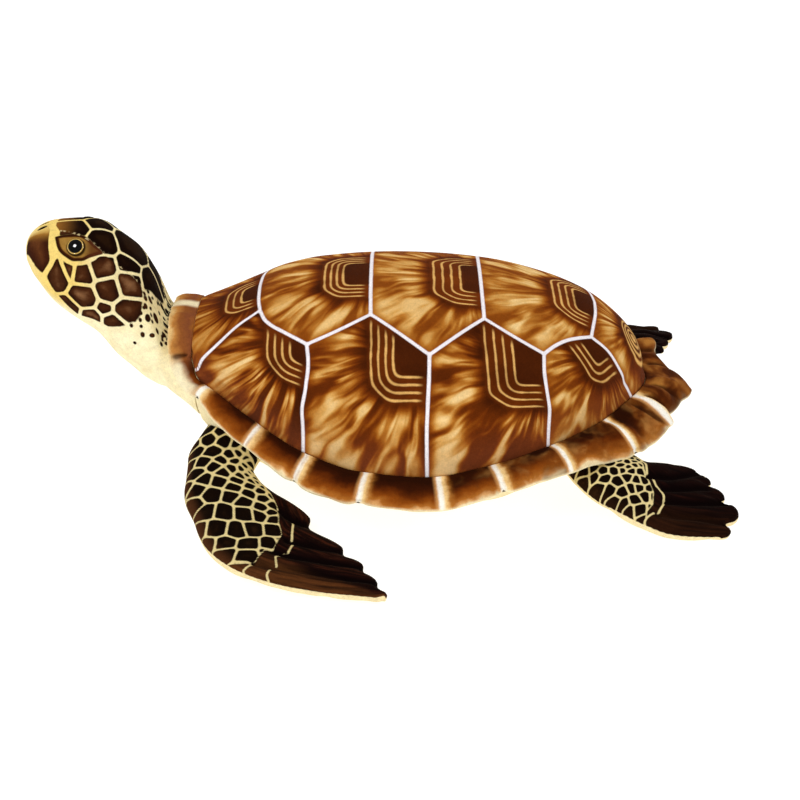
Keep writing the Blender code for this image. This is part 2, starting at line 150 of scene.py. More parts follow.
def depth_inside(points, outline):
    """How deep each flat point lies inside a closed outline; negative outside."""
    line = np.vstack([outline, outline[:1]])
    gap = distance_to_lines(points, [line])
    x, y = points[..., 0], points[..., 1]
    inside = np.zeros(x.shape, bool)
    for (x0, y0), (x1, y1) in zip(line[:-1], line[1:]):
        if y0 != y1:
            inside ^= ((y0 > y) != (y1 > y)) & (x < (x1 - x0) * (y - y0) / (y1 - y0) + x0)
    return np.where(inside, gap, -gap)


def soft_least(values, sharpness):
    """The least along the last axis, rounded where two come close."""
    least = values.min(-1, keepdims=True)
    total = np.exp(-sharpness * (values - least)).sum(-1)
    return least[..., 0] - np.log(total) / sharpness


def scale_ink(points, seeds, weights, half_line, cuts, sharpness):
    """Depth in mm inside printed scales that grow round the seeds, with pale lines between them.

    The weights are radii: a scale with a larger one takes more room from its neighbours.
    Each cut is a distance inside an area that the scales fill.
    """
    flat = points.reshape(-1, points.shape[-1])
    between = size_of(seeds[:, None] - seeds[None]) + np.eye(len(seeds)) * 1e6
    cuts = np.stack([cut.ravel() for cut in cuts], -1)
    half_line = np.zeros(len(seeds)) + half_line
    ink = np.empty(len(flat))
    at_once = 8000
    for start in range(0, len(flat), at_once):
        part = slice(start, start + at_once)
        power = ((flat[part, None] - seeds[None]) ** 2).sum(-1) - weights ** 2
        own = power.argmin(1)
        lead = power - np.take_along_axis(power, own[:, None], 1)
        edge = lead / (2 * between[own]) - half_line[own, None]
        edge[np.arange(len(own)), own] = NOWHERE
        near = np.sort(edge, 1)[:, :5]
        ink[part] = soft_least(np.hstack([near, cuts[part]]), sharpness)
    return ink.reshape(points.shape[:-1])


# Skins: grids of points that close round, with the print carried as fields on their vertices

def grid_normals(points, closed=False):
    """Unit normals of a grid that closes across its columns, and with closed along its rows too."""
    if closed:
        down = np.roll(points, -1, 0) - np.roll(points, 1, 0)
    else:
        down = np.gradient(points, axis=0)
    ring = np.roll(points, -1, 1) - np.roll(points, 1, 1)
    normal = unit(np.cross(down, ring))
    outward = points - points.mean(1, keepdims=True)
    return normal * np.sign((normal * outward).sum(-1).mean())


def end_faces(row, size, how, extra):
    """Faces that close one end of a skin: a fan to one point, or a seam of opposite points."""
    base = row * size
    if how == "fan":
        return [[base + j, base + (j + 1) % size, extra] for j in range(size)]
    faces = []
    for j in range(size // 2):
        ring = [base + j, base + j + 1, base + (size - j - 1) % size, base + (size - j) % size]
        faces.append([v for n, v in enumerate(ring) if v != ring[n - 1]])
    return faces


def grid_faces(rows, size, closed):
    """Faces of a grid that closes across its columns, and with closed along its rows too."""
    i, j = np.meshgrid(np.arange(rows if closed else rows - 1), np.arange(size), indexing="ij")
    k, after = (j + 1) % size, (i + 1) % rows
    quads = np.stack([i * size + j, i * size + k, after * size + k, after * size + j], -1)
    return quads.reshape(-1, 4).tolist()


def skin(name, points, fields, look, ends="fan", closed=False):
    """A closed, smooth-shaded piece from a grid of points; the fields ride on its vertices."""
    rows, size = points.shape[:2]
    vertices = points.reshape(-1, 3)
    faces = grid_faces(rows, size, closed)
    fans = []
    for row, how in () if closed else ((0, "fan"), (rows - 1, ends)):
        faces += end_faces(row, size, how, len(vertices) + len(fans))
        if how == "fan":
            fans.append(row)
    if fans:
        vertices = np.vstack([vertices] + [points[row].mean(0) for row in fans])
    mesh = bpy.data.meshes.new(name)
    mesh.from_pydata(vertices.tolist(), [], faces)
    for key, values in fields.items():
        wide = values.ndim == 3
        flat = values.reshape(rows * size, -1)
        if fans:
            flat = np.vstack([flat] + [values[row].reshape(size, -1).mean(0) for row in fans])
        layer = mesh.attributes.new(key, "FLOAT_VECTOR" if wide else "FLOAT", "POINT")
        layer.data.foreach_set("vector" if wide else "value", flat.astype(np.float32).ravel())
    tidy_mesh(mesh)
    mesh.materials.append(look)
    piece = bpy.data.objects.new(name, mesh)
    bpy.context.scene.collection.objects.link(piece)
    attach(piece, "root")
    return piece


def joined_net(points, faces):
    """A mesh of the net with its faces outwards and close points joined, and the number that each
    given point has in it."""
    work = bmesh.new()
    corners = [work.verts.new(point) for point in points.tolist()]
    for face in faces:
        work.faces.new([corners[number] for number in face])
    twins = bmesh.ops.find_doubles(work, verts=work.verts, dist=JOINED * MM)["targetmap"]
    kept = [twins.get(corner, corner) for corner in corners]
    bmesh.ops.weld_verts(work, targetmap=twins)
    bmesh.ops.recalc_face_normals(work, faces=work.faces)
    work.verts.index_update()
    numbers = np.array([corner.index for corner in kept])
    mesh = bpy.data.meshes.new("net")
    work.to_mesh(mesh)
    work.free()
    return mesh, numbers


def picked(lengths, spacing, loop):
    """Numbers of the lines of a grid to keep, so that they lie about one spacing apart."""
    reach = reach_of(lengths)
    count = max(int(round(reach[-1] / spacing)), 6)
    lines = np.interp(np.linspace(0, reach[-1], count + 1), reach, np.arange(len(reach)))
    lines = np.unique(np.round(lines)).astype(int)
    return lines[:-1] if loop else lines


def spread(values, lines, count, loop):
    """Values on the picked lines carried over to every line along the first axis, evened out."""
    if loop:
        values = np.concatenate([values, values[:1]])
        lines = np.append(lines, lines[0] + count)
    at = np.arange(count)
    at = np.where(at < lines[0], at + count, at)
    i = np.clip(np.searchsorted(lines, at, side="right") - 1, 0, len(lines) - 2)
    share = ((at - lines[i]) / (lines[i + 1] - lines[i]))[:, None, None]
    fine = values[i] * (1 - share) + values[i + 1] * share
    for _ in range(int(1.2 * (count / len(lines)) ** 2)):
        before, after = np.roll(fine, 1, 0), np.roll(fine, -1, 0)
        if not loop:
            before[0], after[-1] = fine[0], fine[-1]
        fine = (before + 2 * fine + after) / 4
    return fine


def stuffed(points, held, cap, pressure, slack, growth, spacing=5.0, closed=False):
    """The fabric after its filling has pushed it out; held is 1 where sewing keeps it in place.

    A net of the piece, its lines a spacing in mm apart, is run as cloth under pressure. It starts
    smaller by the slack, in mm, its fabric is larger than the piece by the growth, and no point may
    move more than the cap, in mm.
    """
    rows, size = points.shape[:2]
    down = size_of(np.diff(points, axis=0)).max(1)
    if closed:
        down = np.append(down, size_of(points[0] - points[-1]).max())
    ring = size_of(np.roll(points, -1, 1) - points).max(0)
    row_lines = picked(down, spacing * MM, closed)
    column_lines = picked(ring, spacing * MM, True)
    rest, hold, normal = (grid[row_lines][:, column_lines]
                          for grid in (points, held, grid_normals(points, closed)))
    start = rest - normal * (slack * MM * (1 - hold))[..., None]
    net = start.reshape(-1, 3)
    faces = grid_faces(len(row_lines), len(column_lines), closed)
    if not closed:
        for end in (0, -1):
            faces += end_faces(end % len(start), len(column_lines), "fan", len(net))
            net = np.vstack([net, start[end].mean(0)])
    mesh, numbers = joined_net(net, faces)
    piece = bpy.data.objects.new("net", mesh)
    scene = bpy.context.scene
    scene.collection.objects.link(piece)
    group = piece.vertex_groups.new(name="held")
    for number, weight in zip(numbers.tolist(), np.append(hold.ravel(), (1.0, 1.0)).tolist()):
        if weight > HELD_LEAST:
            group.add([number], weight, "REPLACE")
    cloth = piece.modifiers.new("cloth", "CLOTH")
    cloth.settings.quality = 5
    cloth.settings.use_pressure = True
    cloth.settings.uniform_pressure_force = pressure
    cloth.settings.vertex_group_mass = "held"
    cloth.settings.shrink_min = -growth
    cloth.settings.effector_weights.gravity = 0
    cloth.point_cache.frame_start, cloth.point_cache.frame_end = 1, CLOTH_FRAMES
    for number in range(1, CLOTH_FRAMES + 1):
        scene.frame_set(number)
    swollen = piece.evaluated_get(bpy.context.evaluated_depsgraph_get()).data
    moved = np.empty(len(swollen.vertices) * 3)
    swollen.vertices.foreach_get("co", moved)
    moved = moved.reshape(-1, 3)[numbers[:rest.shape[0] * rest.shape[1]]].reshape(rest.shape)
    bpy.data.objects.remove(piece, do_unlink=True)
    bpy.data.meshes.remove(mesh)
    scene.frame_set(1)
    shift = (moved - rest) / MM
    length = size_of(shift)[..., None]
    shift *= cap * np.tanh(length / cap) / np.maximum(length, 1e-9)
    shift = spread(shift, row_lines, rows, closed)
    shift = spread(shift.swapaxes(0, 1), column_lines, size, True).swapaxes(0, 1)
    return points + shift * MM


def tidy_mesh(mesh):
    """Weld what coincides at the tips, face everything outwards and shade it smooth."""
    work = bmesh.new()
    work.from_mesh(mesh)
    bmesh.ops.remove_doubles(work, verts=work.verts, dist=1e-6)
    bmesh.ops.dissolve_degenerate(work, edges=work.edges, dist=1e-7)
    bmesh.ops.recalc_face_normals(work, faces=work.faces)
    work.to_mesh(mesh)
    work.free()
    mesh.polygons.foreach_set("use_smooth", [True] * len(mesh.polygons))


# Shell dome: the same curves as the solid. Half width, height of the seam and height of the crown
# along X; a fullness of 2 gives an ellipse, and more gives squarer shoulders.

FRONT_X, REAR_X = -0.171, 0.158
DOME_X = (-0.171, -0.167, -0.150, -0.125, -0.091, -0.049, -0.006,
          0.039, 0.076, 0.119, 0.138, 0.150, 0.156, 0.158)
DOME_HALF_WIDTH = (0.046, 0.057, 0.070, 0.087, 0.104, 0.118, 0.123,
                   0.115, 0.098, 0.066, 0.044, 0.027, 0.014, 0.0)
DOME_SEAM_Z = (0.103, 0.095, 0.0865, 0.075, 0.060, 0.052, 0.051,
               0.056, 0.060, 0.064, 0.067, 0.068, 0.068, 0.068)
CROWN_X = (-0.171, -0.155, -0.130, -0.105, -0.080, -0.040, 0.0,
           0.040, 0.080, 0.110, 0.135, 0.150, 0.158)
CROWN_Z = (0.1215, 0.127, 0.137, 0.1465, 0.151, 0.1525, 0.151,
           0.1475, 0.140, 0.130, 0.1135, 0.096, 0.068)
DOME_FULLNESS = 2.15


def dome_angle(x):
    return np.arccos(np.clip(1 - (REAR_X - np.asarray(x)) / (REAR_X - FRONT_X), -1, 1))


def dome_curve(values, keys, x):
    return smooth(dome_angle(keys)[::-1], values[::-1], dome_angle(x))


def dome_half_width(x):
    return dome_curve(DOME_HALF_WIDTH, DOME_X, x)


def dome_seam_z(x):
    return dome_curve(DOME_SEAM_Z, DOME_X, x)


def dome_stations(count):
    """Places along X that crowd towards the rounded rear."""
    return REAR_X - (REAR_X - FRONT_X) * (1 - np.cos(np.linspace(math.pi / 2, 0, count)))


def dome_point(x, turn):
    """A point of the dome's skin; the turn runs from -90 at the near seam, over the crown, to 90."""
    angle = np.radians(turn)
    seam = dome_seam_z(x)
    rise = dome_curve(CROWN_Z, CROWN_X, x) - seam
    y = dome_half_width(x) * signed_power(np.sin(angle), 2 / DOME_FULLNESS)
    z = seam + rise * np.abs(np.cos(angle)) ** (2 / DOME_FULLNESS)
    return np.stack(np.broadcast_arrays(x, y, z), -1)


# Scutes: the white printed lines, as place along X in mm and turn over the dome in degrees

ZIGZAG = (((-168.3, 86.0), (-161.6, 60.4), (-153.2, 46.3), (-137.1, 30.3), (-121.1, 21.5)),
          ((-121.1, 21.5), (-117.6, 28.0), (-111.5, 33.0), (-99.8, 37.8), (-86.6, 42.3)),
          ((-86.6, 42.3), (-43.5, 26.6)), ((-43.5, 26.6), (-4.0, 42.9)),
          ((-4.0, 42.9), (33.8, 26.8)), ((33.8, 26.8), (74.2, 44.5)),
          ((74.2, 44.5), (83.8, 39.9), (93.0, 37.0), (109.6, 34.2)),
          ((109.6, 34.2), (122.0, 42.9), (132.4, 59.8), (139.4, 76.3), (143.5, 90.0)))
CROSSINGS = (((-123.6, 0.0), (-123.0, 12.0), (-121.1, 21.5)),
             ((-43.8, 0.0), (-43.8, 12.0), (-43.5, 26.6)),
             ((33.2, 0.0), (33.3, 12.0), (33.8, 26.8)),
             ((116.3, 0.0), (115.2, 12.0), (109.6, 34.2)))
FLANKS = (((-86.6, 42.3), (-85.4, 51.0), (-87.3, 62.0), (-90.6, 74.0), (-90.6, 90.0)),
          ((-4.0, 42.9), (-4.3, 51.0), (-5.2, 62.0), (-6.0, 74.0), (-5.6, 90.0)),
          ((74.2, 44.5), (74.2, 51.0), (76.0, 62.0), (78.8, 74.0), (78.3, 90.0)))
# Half width of the white lines in mm, and how far the rings wander off a straight line
LINE_HALF_WIDTH = 1.2
RING_WANDER = 0.16

# Growth rings, in mm of length along X and across from the crown. For each scute: corner of the
# innermost ring, two outward directions, step between rings, number of rings, and the place that
# the streaks fan out from. The middle row's rings lie round a line a little off the crown, and the
# last scute of that row has rings that close round its middle.
SPINE_MIDDLE = -8.0
LAST_SPINE = 4
SPINE_RINGS = ((-136.5, 12.0, (-1.0, 0.0), (0.0, 1.25), 5.4, 3, (-122.0, 0.0)),
               (-63.5, 18.5, (-1.0, 0.0), (0.0, 1.0), 4.3, 4, (-46.0, 0.0)),
               (18.8, 22.5, (-1.0, 0.0), (0.0, 1.30), 6.2, 4, (31.0, 0.0)),
               (100.0, 17.0, (-1.0, 0.0), (0.0, 1.20), 5.0, 4, (114.0, 0.0)),
               (143.0, 3.0, (-1.4, 0.0), (0.0, 0.56), 2.8, 4, (145.5, 0.0)))
FLANK_RINGS = ((-98.3, 87.9, (-1.0, 0.0), (-0.70, 1.10), 5.3, 4, (-88.0, 78.0)),
               (-28.2, 109.0, (-1.0, 0.0), (0.0, 0.93), 4.95, 4, (-8.0, 92.0)),
               (54.0, 106.0, (-1.0, 0.06), (0.40, 1.28), 6.2, 4, (72.0, 92.0)),
               (113.5, 67.5, (-0.69, 0.72), (1.18, 0.72), 5.3, 3, (117.0, 60.0)))

# How light the ground and the streaks of each scute are
TONES = ((0.17, 0.44), (0.25, 0.54), (0.27, 0.50), (0.27, 0.58), (0.27, 0.54),
         (0.05, 0.78), (0.11, 0.72), (0.12, 0.76), (0.22, 0.60))


def zigzag_line():
    return np.vstack([through(part, closer=8) for part in ZIGZAG])


def printed_lines():
    """The white lines as runs of points on the dome, both sides."""
    runs = []
    for side in (-1, 1):
        for run in [zigzag_line()] + [through(part, closer=6) for part in CROSSINGS + FLANKS]:
            runs.append(dome_point(run[:, 0] * MM, side * run[:, 1]))
    return runs


def scute_of(x, turn):
    """Number of the scute under each point: 0 to 4 along the spine, 5 to 8 on the flanks."""
    x = x / MM
    over = np.abs(turn)
    border = zigzag_line()
    spine = sum((x > np.interp(over, *np.array(line).T[::-1])).astype(int) for line in CROSSINGS)
    flank = 5 + sum((x > np.interp(over, *np.array(line).T[::-1])).astype(int) for line in FLANKS)
    return np.where(over < np.interp(x, border[:, 0], border[:, 1]), spine, flank)


def scute_fields(x, turn, across, border):
    """Fields of the scute print: growth rings, and streaks that fan out from them."""
    number = scute_of(x, turn)
    names = ("ring", "pitch", "rings", "away", "body", "inner", "zone")
    fields = {key: np.zeros_like(x) for key in names}
    fan = np.zeros(x.shape + (3,))
    w = across / MM
    for side in (-1, 1):
        for n, spec in enumerate(SPINE_RINGS + FLANK_RINGS):
            corner_x, corner_w, first, second, step, rings, source = spec
            here = (number == n) & (np.where(w < 0, -1, 1) == side)
            along = x[here] / MM
            on_spine = n <= LAST_SPINE
            over = np.abs(w[here] - SPINE_MIDDLE) if on_spine else np.abs(w[here])
            p = along - corner_x + RING_WANDER * ripples(over, (34.0, 21.0), seed=3 * n)
            q = over - corner_w + RING_WANDER * ripples(along, (37.0, 23.0), seed=3 * n + 1)
            if n == LAST_SPINE:
                p = 3.0 - np.abs(along - source[0])
            a = first[0] * p + first[1] * q
            b = second[0] * p + second[1] * q
            # The corner where the two runs meet is cut off and a little rounded
            ring = -soft_least(-np.stack([a, b, 0.74 * (a + b) + 0.8], -1), sharpness=0.6)
            outside = np.maximum(ring - step * (rings - 1), 0)
            u = along - source[0]
            v = (w[here] - SPINE_MIDDLE) if on_spine else over - source[1]
            angle = np.arctan2(v, u)
            # Every scute takes its streaks from a place of its own in the noise
            shift = 3.7 * n + (11.3 if side > 0 and not on_spine else 0)
            fan[here] = np.stack([np.cos(angle) + shift, np.sin(angle), np.hypot(u, v) / 40], -1)
            fields["ring"][here] = ring
            fields["pitch"][here] = step
            fields["rings"][here] = rings
            ground, streaks = TONES[n]
            fields["away"][here] = ground * ease(0, 18, outside)
            fields["body"][here] = (streaks * ease(0.5, 14, outside)
                                    * (0.3 + 0.7 * ease(0, 8, border[here] / MM)))
            fields["zone"][here] = ((0.15 if on_spine else 0.10) * ease(-3, 2, ring)
                                    * (1 - ease(0, 4, outside)))
            low, high = (5.0, 10.0) if n == LAST_SPINE else (-7.0, 2.0)
            fields["inner"][here] = 1 - ease(low, high, ring)
    fields["fan"] = fan
    return fields


def build_shell():
    rows, arc, floor = 330, 250, 14
    turn = np.concatenate([np.linspace(-90, 90, arc), np.linspace(90, -90, floor + 2)[1:-1]])
    x, turn = np.meshgrid(dome_stations(rows), turn, indexing="ij")
    points = dome_point(x, turn)
    share = np.linspace(1, -1, floor + 2)[1:-1]
    points[:, arc:, 1] = points[:, arc - 1, 1][:, None] * share
    points[:, arc:, 2] = points[:, arc - 1, 2][:, None]
    step = size_of(np.diff(points[:, :arc], axis=1))
    length = np.concatenate([np.zeros((len(points), 1)), np.cumsum(step, 1)], 1)
    across = np.zeros_like(x)
    across[:, :arc] = length - length[:, arc // 2][:, None]
    line = distance_to_lines(points, printed_lines())
    seam = np.zeros_like(x)
    seam[:, :arc] = np.minimum(length, length[:, -1:] - length)
    fields = scute_fields(x, turn, across, np.minimum(line, seam + 0.004))
    fields["line"] = line / MM
    fields["seam"] = seam / MM
    held = np.where(np.arange(points.shape[1])[None] < arc, 1 - ease(2.0, 9.0, seam / MM), 1.0)
    points = stuffed(points, held, cap=3.0, pressure=5.0, slack=1.2, growth=0.016, spacing=6.0)
    return skin("shell_dome", points, fields, scute_plush())


# Rim: the padded band round the dome, with the solid's tables apart from a lower lift of the far
# side. They go by distance along the seam from the neck: width, lift of the edge, droop in degrees
# and half depth. The outline across the band is in shares of its width and of its half depth.

CORNER_X = (-0.1698, -0.1675, -0.1635)
RIM_AT = (0.0, 0.045, 0.062, 0.082, 0.104, 0.130, 0.170, 0.212, 0.250, 0.287,
          0.325, 0.363, 0.382, 0.398, 0.418, 0.434, 0.454, 0.476)
RIM_WIDTH = (0.0195, 0.0170, 0.0150, 0.0145, 0.0190, 0.0205, 0.0240, 0.0265, 0.0275, 0.0265,
             0.0250, 0.0270, 0.0300, 0.0355, 0.0330, 0.0365, 0.0250, 0.0395)
RIM_RUFFLE = (0.0, 0.0, 0.0, 0.0, 0.0, 0.0, 0.0, 0.0, 0.0, 0.0,
              0.0, 0.0, -0.001, 0.001, -0.003, 0.003, -0.007, 0.001)
FAR_AT = (0.0, 0.398, 0.418, 0.436, 0.452, 0.465, 0.476)
FAR_EXTRA_WIDTH = (0.0, 0.0, 0.003, 0.003, 0.001, 0.0, 0.0)
FAR_LIFT = (0.0, 0.0, 0.0095, 0.0125, 0.0135, 0.0075, 0.0)
DROOP_AT = (0.0, 0.030, 0.050, 0.080, 0.200, 0.300, 0.360, 0.476)
RIM_DROOP = (-5.0, -5.0, 4.0, 12.0, 15.5, 15.5, 20.0, 22.0)
DEPTH_AT = (0.0, 0.045, 0.090, 0.120, 0.476)
RIM_DEPTH = (0.0045, 0.0045, 0.0110, 0.0130, 0.0120)
RIM_OUTLINE = ((0.0, 0.02), (0.10, 0.20), (0.38, 0.30), (0.68, 0.22), (0.90, 0.02),
               (1.0, -0.20), (0.96, -0.42), (0.78, -0.62), (0.45, -0.82), (0.0, -1.0))
# White stripes of the print, and the tacks in the lower edge, as mm along the seam from the neck
STRIPES = (82.0, 130.0, 169.5, 213.0, 262.5, 301.0, 348.0, 398.0, 436.0)
TACKS = (82.0, 169.5, 213.0, 301.0, 398.0)
# Depth and half width in mm of the dimple at a tack: in the lower edge, and over the whole band
TACK_DIMPLE, TACK_PULL = (1.7, 4.0), (0.4, 3.0)
# The print's glow round a stripe has faded this far from it, in mm
STRIPE_REACH = 60
# Folds across the band: place along the seam, lean in mm towards the edge, half width, height in mm
COLLAR_FOLDS = ((50.5, 1.0, 2.2, -2.8), (59.0, 3.0, 6.0, 1.2), (70.0, 0.0, 7.0, -0.5))
TAIL_FOLDS = ((389.0, 6.0, 5.0, -0.8), (399.0, 8.0, 4.5, 1.2), (411.0, 5.0, 3.4, -2.2),
              (421.0, 3.0, 4.6, 1.4), (429.5, 6.0, 2.2, -3.0), (438.0, 8.0, 3.2, 2.2),
              (446.5, 9.0, 2.2, -3.4), (455.0, 6.0, 3.2, 2.0), (462.5, 8.0, 2.1, -3.2),
              (470.0, 5.0, 3.0, 2.0))
FAR_FOLDS = ((400.0, 4.0, 4.4, -1.8), (412.0, 6.0, 4.2, 1.9), (423.0, 6.0, 2.8, -2.8),
             (433.0, 3.0, 4.0, 1.9), (444.0, 5.0, 2.6, -3.0), (453.0, 4.0, 3.6, 1.7),
             (463.0, 0.0, 2.6, -2.8))


def radial_lift(loop):
    """Directions away from the middle of the neck, in the plane across it."""
    turn = np.clip(loop[:, 1] / DOME_HALF_WIDTH[0], -1, 1)
    return np.stack([0 * turn, turn * np.abs(turn), np.sqrt(1 - turn ** 4 + 1e-9)], -1)


def rounded(vectors, rounds):
    for _ in range(rounds):
        vectors = (np.roll(vectors, 1, 0) + 2 * vectors + np.roll(vectors, -1, 0)) / 4
    return vectors


def seam_loop():
    """The seam between dome and rim, once around from the crown of the neck, near side first."""
    front = dome_point(np.full(10, FRONT_X), np.linspace(0, -90, 10))
    x = np.concatenate([CORNER_X, dome_stations(28)[1:]])
    side = np.stack([x, -dome_half_width(x), dome_seam_z(x)], -1)
    near = np.vstack([front, side])
    far = near[1:-1][::-1] * (1, -1, 1)
    return np.vstack([near, far])


def seam_frames(loop):
    """Distance from the neck, outward, lift, along and wall directions at every point of the seam."""
    half = len(loop) // 2
    reach = reach_of(size_of(np.diff(loop[:half + 1], axis=0)))
    reach *= RIM_AT[-1] / reach[-1]
    distance = np.concatenate([reach, reach[1:-1][::-1]])
    chord = np.roll(loop, -1, 0) - np.roll(loop, 1, 0)
    plan = np.stack([chord[:, 1], -chord[:, 0], 0 * chord[:, 0]], -1)
    plan *= np.sign((plan * (loop - (0, 0, 0.08))).sum(1, keepdims=True) + 1e-12)
    on_neck = (loop[:, 0] < FRONT_X + 1e-6)[:, None]
    lift = unit(rounded(np.where(on_neck, radial_lift(loop), (0.0, 0.0, 1.0)), rounds=3))
    on_arch = on_neck & (np.abs(loop[:, 1:2]) < 0.99 * DOME_HALF_WIDTH[0])
    wall = np.where(on_arch, radial_lift(loop), (0.0, 0.0, 1.0))
    return distance, unit(rounded(plan, rounds=2)), lift, unit(chord), wall


def build_rim():
    closer = 8
    loop = seam_loop()
    distance, outward, lift, along, wall = seam_frames(loop)
    count = len(loop) * closer
    at = np.arange(count) / closer
    distance = np.interp(at, np.arange(len(loop) + 1), np.append(distance, distance[0]))
    loop, outward, lift, along, wall = (around(v, closer) for v in (loop, outward, lift, along, wall))
    outward, lift, along, wall = (unit(v) for v in (outward, lift, along, wall))
    far = (loop[:, 1] > 0)[:, None]
    s = distance / MM
    width = smooth(RIM_AT, RIM_WIDTH, distance)[:, None]
    ruffle = smooth(RIM_AT, RIM_RUFFLE, distance)[:, None]
    width = width + far * smooth(FAR_AT, FAR_EXTRA_WIDTH, distance)[:, None]
    ruffle = ruffle + far * smooth(FAR_AT, FAR_LIFT, distance)[:, None]
    droop = np.radians(smooth(DROOP_AT, RIM_DROOP, distance))[:, None]
    depth = smooth(DEPTH_AT, RIM_DEPTH, distance)[:, None]
    reach = outward * np.cos(droop) - lift * np.sin(droop)
    across = unit(np.cross(reach, along))
    across *= np.sign((across * lift).sum(1, keepdims=True))
    outline = around(np.array(RIM_OUTLINE), closer=5)
    outline[:, 0] = np.clip(outline[:, 0], 0, None)
    rings = []
    for share, height in outline:
        blend = min(share / 0.1, 1.0)
        up = unit(wall * (1 - blend) + across * blend)
        point = loop + outward * GAP + reach * share * width + up * height * depth
        rings.append(point + lift * ruffle * share ** 2)
    points = np.stack(rings, 1)
    share = outline[:, 0][None] + 0 * width
    # Held along the seam, and loosely over the neck
    held = np.maximum(1 - ease(0.02, 0.16, share), 0.6 * (1 - ease(44.0, 60.0, s))[:, None])
    points = stuffed(points, held, cap=2.2, pressure=3.0, slack=0.5, growth=0.04, spacing=4.5,
                     closed=True)
    free = ease(0.0, 0.35, share)
    normal = grid_normals(points, closed=True)
    run = s * np.where(far[:, 0], -1, 1)
    puff = 0.28 * ripples(run, (37.0, 21.0), seed=4)[:, None] * free
    low = bell(share - 0.97, 0.16) * (outline[:, 1][None] < 0)
    for tack in TACKS:
        for (deep, half), there in ((TACK_DIMPLE, low), (TACK_PULL, free)):
            puff = puff - deep * bell(s - tack, half)[:, None] * there
    top = outline[:, 1][None] > -0.5
    # How deep the fold valleys are; the rim's material darkens them as painted shade
    valley = np.zeros(points.shape[:2])
    at_tail = s > 300
    for folds, there in ((COLLAR_FOLDS, s < 120), (TAIL_FOLDS, ~far[:, 0] & at_tail),
                         (FAR_FOLDS, far[:, 0] & at_tail)):
        for place, lean, half, height in folds:
            off = s[:, None] - place - lean * (share - 0.5)
            wave = height * bell(off, half * (0.7 + 0.6 * share)) * there[:, None] * top
            wave = wave * ease(0.02, 0.3, share) * (1 - 0.7 * ease(0.66, 0.98, share))
            puff = puff + wave
            valley = valley - np.minimum(wave, 0)
    points = points + normal * (puff * MM)[..., None]
    step = size_of(points - np.roll(points, 1, 1))
    step[:, 0] = 0
    length = np.cumsum(step, 1)
    edge_column = np.argmax(outline[:, 0])
    edge = (length[:, edge_column][:, None] - length) / MM
    # Distance past the last stripe and before the next one; the far side has none at its tail
    gap = s[:, None] - np.array(STRIPES)[None]
    gap[far[:, 0], -2:] = NOWHERE
    finer = 1 + 0.25 * ease(320, 370, s) - 0.6 * ease(425, 440, s)
    after = np.minimum(np.where(gap >= 0, gap, -8 * gap).min(1) * finer, STRIPE_REACH)
    before = np.minimum(np.where(gap < 0, -gap, 8 * gap).min(1) * finer, STRIPE_REACH)
    tack_gap = np.full(points.shape[:2], NOWHERE)
    for tack in TACKS:
        tack_gap = np.minimum(tack_gap, np.hypot((s - tack)[:, None] * 1.2, edge + 0.3))
    fields = {"edge": edge, "valley": valley, "tack": tack_gap}
    crest = np.where(far[:, 0], s, -s)
    # These are the same all across the band
    on_seam = {"after": after, "before": before, "stripe": np.minimum(after, before),
               "collar": 1 - ease(48.0, 66.0, s), "rear": ease(255.0, 345.0, s),
               "roll": ease(47.0, 60.0, s) * (1 - ease(70.0, 86.0, s)),
               "tail": ease(445.0, 453.0, s) * ~far[:, 0] + ease(392.0, 408.0, s) * far[:, 0],
               "crest": ease(-1.0, 4.0, crest) * (1 - ease(8.0, 15.0, crest))}
    for key, values in on_seam.items():
        fields[key] = np.repeat(values[:, None], points.shape[1], 1)
    return skin("shell_rim_band", points, fields, rim_plush(), closed=True)


# Belly

BELLY_X = (-0.171, -0.155, -0.135, -0.115, -0.095, 0.078, 0.100, 0.120, 0.140, 0.158)
BELLY_Z = (0.043, 0.029, 0.014, 0.004, 0.0, 0.0, 0.008, 0.022, 0.040, 0.053)
FLAT_X = (-0.115, -0.095, -0.050, -0.010, 0.040, 0.078, 0.095)
FLAT_HALF_WIDTH = (0.0, 0.018, 0.046, 0.054, 0.046, 0.016, 0.0)
BOWL_X = (-0.171, -0.150, -0.120, 0.158)
BOWL_FULLNESS = (2.2, 2.1, 1.7, 1.7)
BELLY_WALL = 0.012
# Where the front and the rear flippers are sewn on: X and distance from the middle plane
SEATS = ((-0.125, 0.062), (0.100, 0.070))


def belly_curves(x):
    """The belly at x: half width, top, low, edge of the wall, half width of the flat, and fullness."""
    width = dome_half_width(x)
    top = dome_seam_z(x) - GAP
    low = smooth(BELLY_X, BELLY_Z, x)
    edge = top - np.minimum(BELLY_WALL, (top - low) * 0.45)
    inside = (x > FLAT_X[0]) & (x < FLAT_X[-1])
    flat = np.where(inside, smooth(FLAT_X, FLAT_HALF_WIDTH, x), 0.0)
    return width, top, low, edge, np.minimum(flat, width * 0.8), smooth(BOWL_X, BOWL_FULLNESS, x)


def belly_side(x, z):
    """Half width of the belly's skin at a place along X and a height."""
    width, _, low, edge, flat, full = belly_curves(x)
    rise = np.clip((z - low) / np.maximum(edge - low, 1e-6), 0, 1)
    sine = np.sqrt(np.maximum(1 - (1 - rise) ** full, 0))
    return flat + (width - flat) * sine ** (2 / full)


